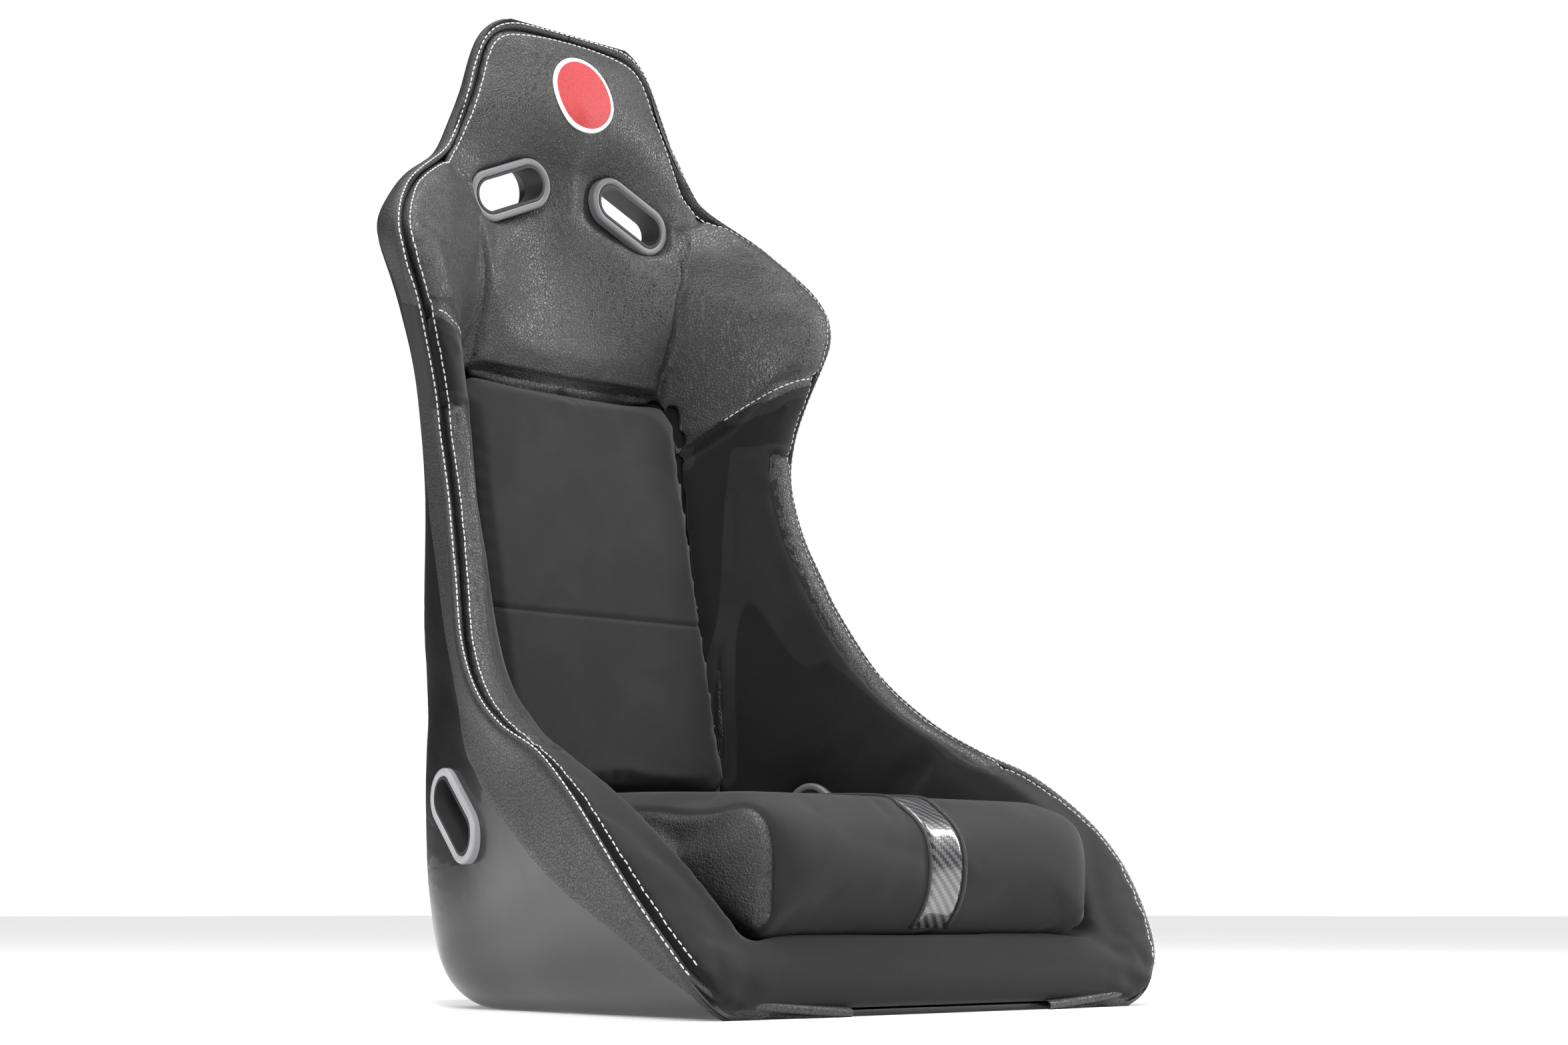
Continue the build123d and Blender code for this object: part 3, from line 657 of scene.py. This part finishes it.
def band_rear(stations):
    """The band's rear edge beside each station."""
    neck = min(range(len(stations)), key=lambda k: abs(stations[k][0].z - NECK_Z) + (k < 4))
    low = len(stations) - 1
    path = smooth_path([(0, y + SHIFT, z) for y, z in BAND_REAR], 0.002)
    tip = min(range(len(stations)), key=lambda k: (stations[k][0] - moved(RIM)[BAND_END]).length)
    rear = []
    for k, (point, out, fore) in enumerate(stations):
        if k <= neck:
            rear.append(point - fore * 0.016)
        elif k <= tip:
            share = (k - neck) / (tip - neck)
            spot = path[round(share * (len(path) - 1))]
            rear.append(Vector((point.x, spot.y, spot.z)))
        else:
            share = (k - tip) / (low - tip)
            height = max(0.0008, 0.006 * (1 - share))
            rear.append(Vector((point.x, point.y + 0.012 * (1 - share), height)))
    return rear, tip


LIP = [(-0.0062, -0.0050), (-0.0052, -0.0010), (-0.0040, 0.0016), (-0.0020, 0.0028), (0.0004, 0.0026),
       (0.0022, 0.0008), (0.0027, -0.0030)]
STITCH_LIP = 4              # point of the lip that carries the band's stitching


def band_rows():
    """The edge band's rows of points, from the groove round the rim to the band's rear edge."""
    shell = surface([frame["nodes"]["shell"]])
    stations = rim_stations()
    rear, tip = band_rear(stations)
    thick = sizes().band
    rows = []
    for (point, out, fore), back in zip(stations, rear):
        row = [point + out * a + fore * b for a, b in LIP]
        start = point - fore * 0.006
        for k in range(1, 11):
            spot = start.lerp(back, k / 10)
            hit, normal, _, _ = shell.ray_cast(spot + out * 0.08, -out, 0.2)
            lift = thick if k < 10 else -0.0008
            if hit is None or normal.dot(out) < 0:
                hit, normal = spot, out
            row.append(hit + normal * lift)
        rows.append(row)
    return rows, tip


class SEAT_OT_bands(bpy.types.Operator):
    """Leather edge bands that wrap the shell's rim on both sides"""

    bl_idname = "seat.bands"
    bl_label = "Edge bands"

    def execute(self, context):
        rows, tip = band_rows()
        band = shape_grid("edge_band_right", rows)
        modify(band, "SMOOTH", factor=0.4, iterations=2)
        modify(band, "SUBSURF", levels=1, render_levels=1)
        self.suede_zone(band)
        twin = other_side(band, "edge_band_left")
        for side, piece in (("right", band), ("left", twin)):
            piece.name = f"leather_edge_band_{side}"
            finish(piece, "seat", FINISH["leather_black"], "leather_black", f"edge_band_{side}")
        return {"FINISHED"}

    def suede_zone(self, band):
        """Marks where the band is suede, below the shoulder wing."""
        rim = [point for point in moved(RIM) if 0.40 < point.z < 0.70]
        gaps = []
        for vertex in band.data.vertices:
            co = vertex.co
            near = min(rim, key=lambda point: abs(point.z - co.z))
            share = min(1.0, max(0.0, co.y - near.y) / 0.06)
            gap = min(0.592 + 0.016 * share - co.z, co.z - 0.508 - 0.03 * share)
            gaps.append(gap if co.x > 0.15 else -SEAM_REACH)
        keep(band, "edge", [1 + gap for gap in gaps])


# ---------------------------------------------------------------- pads fixed in the shell
def seam_gaps(piece, groups):
    """Each point's distance to every group of CAD nodes, as far as the seams matter."""
    trees = [surface([frame["nodes"][node] for node in nodes]) for nodes in groups]
    gaps = []
    for vertex in piece.data.vertices:
        found = [tree.find_nearest(vertex.co, SEAM_REACH)[3] for tree in trees]
        gaps.append([SEAM_REACH if gap is None else gap for gap in found])
    return gaps


def keep(piece, name, values):
    """Stores one value a point on a mesh."""
    layer = piece.data.attributes.new(name, "FLOAT", "POINT")
    layer.data.foreach_set("value", list(values))


def groove(piece, gaps, width, depth):
    """Presses a groove wherever the gap to a seam is less than its width."""
    normals = [vertex.normal.copy() for vertex in piece.data.vertices]
    for vertex, normal, gap in zip(piece.data.vertices, normals, gaps):
        share = max(0.0, 1 - (gap / width) ** 2)
        vertex.co -= normal * (depth * share * share)


def part_by(piece, pick, names):
    """Separates a mesh into named pieces, each face going where pick sends it."""
    piece.data.materials.clear()
    for name in names:
        piece.data.materials.append(bpy.data.materials.new(name))
    for face in piece.data.polygons:
        face.material_index = pick(face)
    activate(piece)
    bpy.ops.object.mode_set(mode="EDIT")
    bpy.ops.mesh.separate(type="MATERIAL")
    bpy.ops.object.mode_set(mode="OBJECT")
    parts = {}
    for part in list(bpy.context.selected_objects):
        label = part.data.materials[part.data.polygons[0].material_index].name
        part.name = label
        parts[label] = part
    for name in names:
        bpy.data.materials.remove(bpy.data.materials[name])
    return parts


def wing_border(seam, co):
    """How far a point lies below the lower edge of a shoulder wing's leather, where that edge runs."""
    across = abs(co.x)
    if across < seam[-1].x or not 0.46 < co.z < 0.66:
        return None
    for a, b in zip(seam, seam[1:]):
        if b.x <= across:
            share = min(1.2, (a.x - across) / (a.x - b.x))
            height = a.z + (b.z - a.z) * share
            slope = math.atan2(a.z - b.z, a.x - b.x)
            return (height - WING_HEM - co.z) * math.cos(slope)
    return None


def shape_headrest(piece):
    """A soft ridge below the badge, and hollows round the shoulder slots."""
    low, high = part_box("shoulder_bezel_front_right")
    inner, outer = Vector((low.x + 0.024, 0, high.z - 0.024)), Vector((high.x - 0.024, 0, low.z + 0.024))
    along = outer - inner
    ahead = [vertex.normal.y < -0.2 for vertex in piece.data.vertices]
    for vertex, faces_front in zip(piece.data.vertices, ahead):
        co = vertex.co
        if not faces_front or co.z < 0.6 or abs(co.x) > 0.2:
            continue
        spot = Vector((abs(co.x), 0, co.z))
        share = min(1.0, max(0.0, (spot - inner).dot(along) / along.length_squared))
        far = max(0.0, (spot - inner - along * share).length - 0.024)
        hollow = 0.0035 * math.exp(-(far / 0.020) ** 2)
        ridge = 0.0050 * math.exp(-(co.x / 0.016) ** 2) * math.exp(-((co.z - 0.765) / 0.045) ** 2)
        co.y += hollow - ridge


class SEAT_OT_fixed_pads(bpy.types.Operator):
    """Back panel, shoulder wings, bolsters and the suede side and front pads, in one sewn lining"""

    bl_idname = "seat.fixed_pads"
    bl_label = "Fixed pads"

    def execute(self, context):
        size = sizes()
        shell = surface([frame["nodes"]["shell"]])
        groups = [LINING[name] for name in LINING]
        lining = upholster("lining", [node for nodes in groups for node in nodes], size.swell,
                           size.lining, size.tuck, soften=8,
                           held=lambda co: shell.find_nearest(co)[3] < GLUED)
        shape_headrest(lining)
        gaps = seam_gaps(lining, groups)
        order = [sorted(row) for row in gaps]
        groove(lining, [row[1] - row[0] for row in order], size.groove, size.groove_deep)
        suede = list(LINING).index("side_and_front_suede")
        seam = moved(WING_STITCH)
        below = [wing_border(seam, vertex.co) for vertex in lining.data.vertices]
        for row, gap in zip(gaps, below):
            if gap is not None:
                row[1] = row[2] = row[suede] + gap
        keep(lining, "edge", [1 + min(row[:suede]) - row[suede] for row in gaps])
        keep(lining, "seam", [1 + row[0] - min(row[1:suede]) for row in gaps])
        nearest = [row.index(min(row)) for row in gaps]

        def pick(face):
            chosen = [nearest[k] for k in face.vertices]
            return max(chosen, key=chosen.count)

        parts = part_by(lining, pick, list(LINING))
        for name, piece in parts.items():
            slot = "suede_black" if name == "side_and_front_suede" else "leather_black"
            finish(piece, "seat", FINISH[slot], slot, *LINING[name], fill=0.8)
        return {"FINISHED"}


class SEAT_OT_foams(bpy.types.Operator):
    """The foam that shows when the lift-out pads are away"""

    bl_idname = "seat.foams"
    bl_label = "Foams"

    def execute(self, context):
        for node, label in (("seat_base_foam", "base_foam"), ("back_foam", "back_foam_cut")):
            piece = node_copy(label, [node])
            modify(piece, "REMESH", mode="VOXEL", voxel_size=sizes().foam_voxel)
            modify(piece, "SMOOTH", factor=0.5, iterations=2)
            finish(piece, "seat", FINISH["foam_grey"], "foam_grey", node, fill=1.0)
        return {"FINISHED"}


# ---------------------------------------------------------------- lift-out pads
def score(piece, point, normal):
    """Adds an edge loop where a plane meets a mesh."""
    edit(piece, lambda: bpy.ops.mesh.bisect(plane_co=point, plane_no=normal))


class SEAT_OT_back_pad(bpy.types.Operator):
    """Lift-out back pad: two suede panels that meet at a cross seam"""

    bl_idname = "seat.back_pad"
    bl_label = "Back pad"

    def execute(self, context):
        size = sizes()
        low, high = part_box("back_pad_foam")
        lean = math.atan2(-frame["joints"][1]["axis"][2], frame["joints"][1]["axis"][1])
        up = Vector((0, math.sin(abs(lean)), math.cos(lean)))
        seam = Vector((0, (low.y + high.y) / 2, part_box("back_pad_upper")[0].z + 0.004))
        pad = upholster("back_pad", ["back_pad_foam"], size.crown, size.fine_voxel, -size.cover,
                        soften=5)
        score(pad, seam, up)
        gaps = [(vertex.co - seam).dot(up) for vertex in pad.data.vertices]
        groove(pad, [abs(gap) for gap in gaps], 0.004, 0.0016)
        keep(pad, "seam", [1 + gap for gap in gaps])
        names = ["back_pad_suede_upper", "back_pad_suede_lower"]
        parts = part_by(pad, lambda face: int((face.center - seam).dot(up) < 0), names)
        finish(parts[names[0]], "back_pad", FINISH["suede_black"], "suede_black", "back_pad_upper",
               "back_pad_foam", fill=0.9)
        finish(parts[names[1]], "back_pad", FINISH["suede_black"], "suede_black", "back_pad_lower",
               fill=0.9)
        return {"FINISHED"}


class SEAT_OT_cushion(bpy.types.Operator):
    """Lift-out seat cushion: suede body, leather ends, carbon strip and piping"""

    bl_idname = "seat.cushion"
    bl_label = "Seat cushion"

    def execute(self, context):
        size = sizes()
        pad = node_copy("cushion", ["cushion_foam"])
        modify(pad, "REMESH", mode="VOXEL", voxel_size=size.voxel)
        edit(pad, lambda: bpy.ops.transform.shrink_fatten(value=size.cover))
        corners = pad.vertex_groups.new(name="corners")
        low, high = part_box("cushion_foam")
        for vertex in pad.data.vertices:
            out = min(1.0, max(0.0, (abs(vertex.co.x) - high.x + 0.065) / 0.03))
            ahead = min(1.0, max(0.0, (low.y + 0.10 - vertex.co.y) / 0.04))
            rise = min(1.0, max(0.0, (vertex.co.z - low.z - 0.012) / 0.02))
            corners.add([vertex.index], max(out, 0.6 * ahead) * rise, "REPLACE")
        modify(pad, "SMOOTH", factor=0.5, iterations=5)
        modify(pad, "SMOOTH", factor=0.5, iterations=size.rounding, vertex_group="corners")
        swell(pad, size.pressure, size.crown)
        relax(pad)
        score(pad, (END_SEAM, 0, 0), (1, 0, 0))
        score(pad, (-END_SEAM, 0, 0), (1, 0, 0))
        gaps = [abs(vertex.co.x) - END_SEAM for vertex in pad.data.vertices]
        groove(pad, [abs(gap) for gap in gaps], 0.0045, 0.0018)
        keep(pad, "edge", [1 - gap for gap in gaps])
        names = ["cushion_suede", "cushion_end_leather_right", "cushion_end_leather_left"]

        def pick(face):
            if abs(face.center.x) < END_SEAM:
                return 0
            return 1 if face.center.x > 0 else 2

        parts = part_by(pad, pick, names)
        body = finish(parts["cushion_suede"], "cushion", FINISH["suede_black"], "suede_black",
                      "cushion_cover_left", "cushion_cover_right", "cushion_foam", fill=0.9)
        for side in ("right", "left"):
            finish(parts[f"cushion_end_leather_{side}"], "cushion", FINISH["leather_black"],
                   "leather_black", f"cushion_end_{side}", fill=0.9)
        self.strip(body)
        return {"FINISHED"}

    def strip(self, body):
        """The carbon strip down the middle of the cushion with piping on both sides."""
        tree = surface([body])
        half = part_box("cushion_strip")[1].x
        path = smooth_path([(0, y + SHIFT, z) for y, z in NOSE], 0.004)
        heart = Vector((0, -0.15 + SHIFT, 0.11))
        rows, sides = [], {-1: [], 1: []}
        for point in path:
            inward = (Vector((0, min(max(point.y, heart.y), 0.12), heart.z)) - point).normalized()
            row = []
            for k in range(-6, 7):
                x = half * k / 6
                start = Vector((x, point.y, point.z)) - inward * 0.05
                hit, normal, _, _ = tree.ray_cast(start, inward, 0.1)
                hit = hit or Vector((x, point.y, point.z))
                row.append(hit - inward * (0.0012 if abs(k) < 6 else -0.001))
            rows.append(row)
            for side in (-1, 1):
                start = Vector((side * (half + sizes().piping * 0.6), point.y, point.z)) - inward * 0.05
                hit = tree.ray_cast(start, inward, 0.1)[0] or Vector((start.x, point.y, point.z))
                sides[side].append(hit - inward * 0.0006)
        strip = shape_grid("carbon_strip", rows)
        run = len(path) * 0.004
        uv = strip.data.uv_layers.active.data
        for loop in uv:
            loop.uv = (loop.uv[0] * 2 * half, loop.uv[1] * run)
        modify(strip, "SUBSURF", levels=1, render_levels=1)
        finish(strip, "cushion", FINISH["carbon_weave"], "carbon_weave", "cushion_strip")
        for side, label in ((-1, "left"), (1, "right")):
            cord = tube(f"strip_piping_{label}", sides[side], sizes().piping)
            finish(cord, "cushion", FINISH["piping_black"], "piping_black", f"cushion_piping_{label}")


def tube(name, points, radius, around=10):
    """A closed tube along points."""
    rows = []
    for k, point in enumerate(points):
        run = (points[min(k + 1, len(points) - 1)] - points[max(k - 1, 0)]).normalized()
        side = Vector((1, 0, 0))
        up = side.cross(run).normalized()
        row = []
        for turn in range(around + 1):
            angle = 2 * math.pi * turn / around
            row.append(point + (side * math.cos(angle) + up * math.sin(angle)) * radius)
        rows.append(row)
    piece = shape_grid(name, rows)
    edit(piece, lambda: bpy.ops.mesh.remove_doubles(threshold=1e-6),
         lambda: bpy.ops.mesh.fill_holes(sides=around + 2),
         lambda: bpy.ops.mesh.normals_make_consistent(inside=False))
    return piece


# ---------------------------------------------------------------- badge and stitching
class SEAT_OT_badge(bpy.types.Operator):
    """Plain round badge sewn on the headrest"""

    bl_idname = "seat.badge"
    bl_label = "Badge"

    def execute(self, context):
        centre = (BADGE_LOW + BADGE_HIGH) / 2
        radius = (BADGE_HIGH.x - BADGE_LOW.x) / 2
        tree = surface([bpy.data.objects["back_panel_leather"]])
        shares = [0.0, 0.15, 0.3, 0.45, 0.6, 0.75, 0.85, 0.90, 0.925, 0.96, 1.0, 1.012, 1.02]
        lifts = [0.0011] * 8 + [0.0013, 0.0014, 0.0011, 0.0005, -0.0005]
        rows = []
        for share, lift in zip(shares, lifts):
            row = []
            for turn in range(73):
                angle = 2 * math.pi * turn / 72
                spoke = Vector((math.cos(angle), 0, math.sin(angle)))
                spot = centre + spoke * radius * max(share, 0.001)
                hit, normal, _, _ = tree.ray_cast(spot - Vector((0, 0.1, 0)), Vector((0, 1, 0)), 0.3)
                row.append((hit or spot) - Vector((0, lift, 0)))
            rows.append(row)
        badge = shape_grid("headrest_badge_plain", rows)
        edit(badge, lambda: bpy.ops.mesh.remove_doubles(threshold=0.0002),
             lambda: bpy.ops.mesh.normals_make_consistent(inside=False))
        if badge.data.polygons[0].normal.y > 0:
            badge.data.flip_normals()
        ring = badge.data.attributes.new("ring", "FLOAT", "POINT")
        for vertex, value in zip(badge.data.vertices, ring.data):
            far = math.hypot(vertex.co.x - centre.x, vertex.co.z - centre.z) / radius
            value.value = 1.0 if far > 0.915 else 0.0
        finish(badge, "seat", FINISH["badge_red"], "badge_red", "headrest_badge")
        return {"FINISHED"}


def one_stitch():
    """A single stitch, lying along x, its middle at the origin."""
    bpy.ops.object.select_all(action="DESELECT")
    bpy.ops.mesh.primitive_uv_sphere_add(segments=6, ring_count=6, radius=1)
    piece = bpy.context.object
    half, radius = sizes().stitch / 2, sizes().thread
    edit(piece, lambda: bpy.ops.transform.rotate(
        value=math.pi / 2, orient_axis="Y", center_override=(0, 0, 0)))
    for vertex in piece.data.vertices:
        x = vertex.co.x
        belly = max(0.0, 1 - x ** 4) ** 0.5
        vertex.co.x = half * x
        ring = math.hypot(vertex.co.y, vertex.co.z) or 1.0
        vertex.co.y *= radius * belly / ring
        vertex.co.z = vertex.co.z * radius * belly / ring - 0.5 * radius * abs(x) ** 3
    return piece


def lay_stitches(name, places, body):
    """Copies of one stitch along a seam. Each place is a point, its run and its normal."""
    seed = one_stitch()
    whole = bmesh.new()
    for point, run, normal in places:
        side = normal.cross(run).normalized()
        up = run.cross(side).normalized()
        turn = Matrix((run, side, up)).transposed().to_4x4()
        turn.translation = point
        copy = seed.data.copy()
        copy.transform(turn)
        whole.from_mesh(copy)
        bpy.data.meshes.remove(copy)
    mesh = bpy.data.meshes.new(name)
    whole.to_mesh(mesh)
    whole.free()
    piece = bpy.data.objects.new(name, mesh)
    bpy.context.collection.objects.link(piece)
    bpy.data.objects.remove(seed)
    edit(piece, lambda: bpy.ops.mesh.normals_make_consistent(inside=False))
    return finish(piece, body, FINISH["thread"], "leather_black")


def runs_along(points, normals, pitch, lift):
    """Stitch places along a path on a surface."""
    places, travelled, due = [], 0.0, pitch / 2
    for k in range(1, len(points)):
        step = (points[k] - points[k - 1]).length
        while travelled + step >= due:
            share = (due - travelled) / step if step else 0.0
            spot = points[k - 1].lerp(points[k], share)
            normal = normals[k - 1].lerp(normals[k], share).normalized()
            run = (points[k] - points[k - 1]).normalized()
            places.append((spot + normal * lift, run, normal))
            due += pitch
        travelled += step
    return places


class SEAT_OT_stitching(bpy.types.Operator):
    """White decorative stitching along the rim and across the shoulder wings"""

    bl_idname = "seat.stitching"
    bl_label = "Stitching"

    def execute(self, context):
        size = sizes()
        pads = [bpy.data.objects[n] for n in (
            "back_panel_leather", "wing_leather_right", "bolster_leather_right", "side_and_front_suede")]
        tree = surface(pads)
        stations = rim_stations()
        rows, tip = band_rows()
        lift = sizes().thread * 0.35
        outer, outer_up, inner, inner_up = [], [], [], []
        for (point, out, fore), row in list(zip(stations, rows))[:tip]:
            outer.append(row[STITCH_LIP])
            outer_up.append((out * 0.45 + fore).normalized())
            hit, normal, _, _ = tree.find_nearest(point - out * size.inner_row + fore * 0.008)
            inner.append(hit)
            inner_up.append(normal)
        pitch = sizes().pitch
        for label, points, ups in (("band", outer, outer_up), ("pad", inner, inner_up)):
            places = runs_along(points, ups, pitch, lift)
            right = lay_stitches(f"rim_stitches_{label}_right", places, "seat")
            left = other_side(right, f"rim_stitches_{label}_left")
            finish(left, "seat", FINISH["thread"], "leather_black")
        wing = surface([bpy.data.objects["wing_leather_right"]])
        seam, ups = [], []
        for point in smooth_path(moved(WING_STITCH), 0.003):
            aim = Vector((0.0, -0.12, point.z))
            hit, normal, _, _ = wing.ray_cast(aim, (point - aim).normalized(), 0.6)
            if hit:
                seam.append(hit)
                ups.append(normal)
        right = lay_stitches("wing_stitches_right", runs_along(seam, ups, pitch, lift), "seat")
        finish(other_side(right, "wing_stitches_left"), "seat", FINISH["thread"], "leather_black")
        return {"FINISHED"}


# ---------------------------------------------------------------- studio
FILL, BACKDROP = 0.07, 1.05  # the white surroundings: as they light the seat, and as they are seen
LAMPS = (
    ("key_left", (-1.9, -1.7, 1.9), (0, 0, 0.6), (0.5, 1.6), 75),
    ("right_strip", (2.2, -1.0, 1.6), (0, 0, 0.6), (0.4, 1.8), 60),
    ("top_box", (0.1, -0.5, 2.5), (0, 0, 0.5), (1.2, 0.8), 45),
    ("left_rear", (-2.4, 1.0, 0.9), (0, 0, 0.4), (0.4, 1.0), 18),
)


def area_light(name, place, target, size, power):
    """A soft light that points at a target."""
    data = bpy.data.lights.new(name, "AREA")
    data.shape = "RECTANGLE"
    data.size, data.size_y = size
    data.energy = power
    lamp = bpy.data.objects.new(name, data)
    bpy.context.collection.objects.link(lamp)
    lamp.location = place
    lamp.rotation_euler = (Vector(target) - Vector(place)).to_track_quat("-Z", "Y").to_euler()
    return lamp


class SEAT_OT_stage(bpy.types.Operator):
    """Pale floor, soft lights and the camera"""

    bl_idname = "seat.stage"
    bl_label = "Stage"

    def execute(self, context):
        scene = context.scene
        bpy.ops.object.select_all(action="DESELECT")
        bpy.ops.mesh.primitive_grid_add(x_subdivisions=8, y_subdivisions=8, size=60)
        floor = context.object
        floor.name = "studio_floor"
        material, tree, shader, place = new_material("Studio floor")
        cloudy = add(tree, "ShaderNodeTexNoise", {"Vector": place, "Scale": 0.6})
        base = blend_colour(tree, cloudy.outputs["Fac"], (0.86, 0.86, 0.86, 1), (0.9, 0.9, 0.9, 1))
        tree.links.new(base, shader.inputs["Base Color"])
        shader.inputs["Roughness"].default_value = 0.6
        shader.inputs["Emission Color"].default_value = (1, 1, 1, 1)
        shader.inputs["Emission Strength"].default_value = 0.22
        floor.data.materials.append(material)

        world = bpy.data.worlds.new("Studio")
        world.use_nodes = True
        scene.world = world
        nodes = world.node_tree
        ground = nodes.nodes["Background"]
        seen = add(nodes, "ShaderNodeLightPath").outputs["Is Camera Ray"]
        strength = spread(nodes, seen, 0.0, 1.0, FILL, BACKDROP, smooth=False)
        nodes.links.new(strength, ground.inputs["Strength"])
        ground.inputs["Color"].default_value = (1, 1, 1, 1)

        sun = bpy.data.lights.new("overhead", "SUN")
        sun.energy = 2.2
        sun.angle = 1.3
        lamp = bpy.data.objects.new("overhead", sun)
        context.collection.objects.link(lamp)
        lamp.rotation_euler = (math.radians(-10), math.radians(-6), 0)
        for lamp_facts in LAMPS:
            area_light(*lamp_facts)

        data = bpy.data.cameras.new("camera")
        data.lens = 66.308
        data.sensor_width = 36.0
        camera = bpy.data.objects.new("camera", data)
        context.collection.objects.link(camera)
        fore = Vector((0.70711, 0.69450, 0.13292)).normalized()
        up = Vector((-0.09483, -0.09314, 0.99113)).normalized()
        right = fore.cross(up).normalized()
        turn = Matrix((right, up, -fore)).transposed().to_4x4()
        turn.translation = Vector((-1.7523, -1.7820 + SHIFT, 0.0815))
        camera.matrix_world = turn
        scene.camera = camera
        scene.view_settings.view_transform = "Standard"
        return {"FINISHED"}


# ---------------------------------------------------------------- add-on
STEPS = (SEAT_OT_stage, SEAT_OT_finishes, SEAT_OT_bands, SEAT_OT_fixed_pads, SEAT_OT_foams,
         SEAT_OT_back_pad, SEAT_OT_cushion, SEAT_OT_badge, SEAT_OT_stitching)


class SEAT_PT_panel(bpy.types.Panel):
    """Lists the seat's steps in the sidebar"""

    bl_idname = "SEAT_PT_panel"
    bl_label = "Racing seat"
    bl_space_type = "VIEW_3D"
    bl_region_type = "UI"
    bl_category = "Seat"

    def draw(self, context):
        scene = context.scene
        for group in (scene.seat_sizes, scene.seat_colours):
            box = self.layout.box()
            for key in group.__annotations__:
                box.prop(group, key)
        for step in STEPS:
            self.layout.operator(step.bl_idname)


CLASSES = (SeatSizes, SeatColours, *STEPS, SEAT_PT_panel)


def register():
    for cls in CLASSES:
        bpy.utils.register_class(cls)
    bpy.types.Scene.seat_sizes = PointerProperty(type=SeatSizes)
    bpy.types.Scene.seat_colours = PointerProperty(type=SeatColours)


def unregister():
    del bpy.types.Scene.seat_colours
    del bpy.types.Scene.seat_sizes
    for cls in reversed(CLASSES):
        bpy.utils.unregister_class(cls)


def main():
    register()
    for step in STEPS:
        group, name = step.bl_idname.split(".")
        getattr(getattr(bpy.ops, group), name)()


if __name__ == "__main__":
    main()
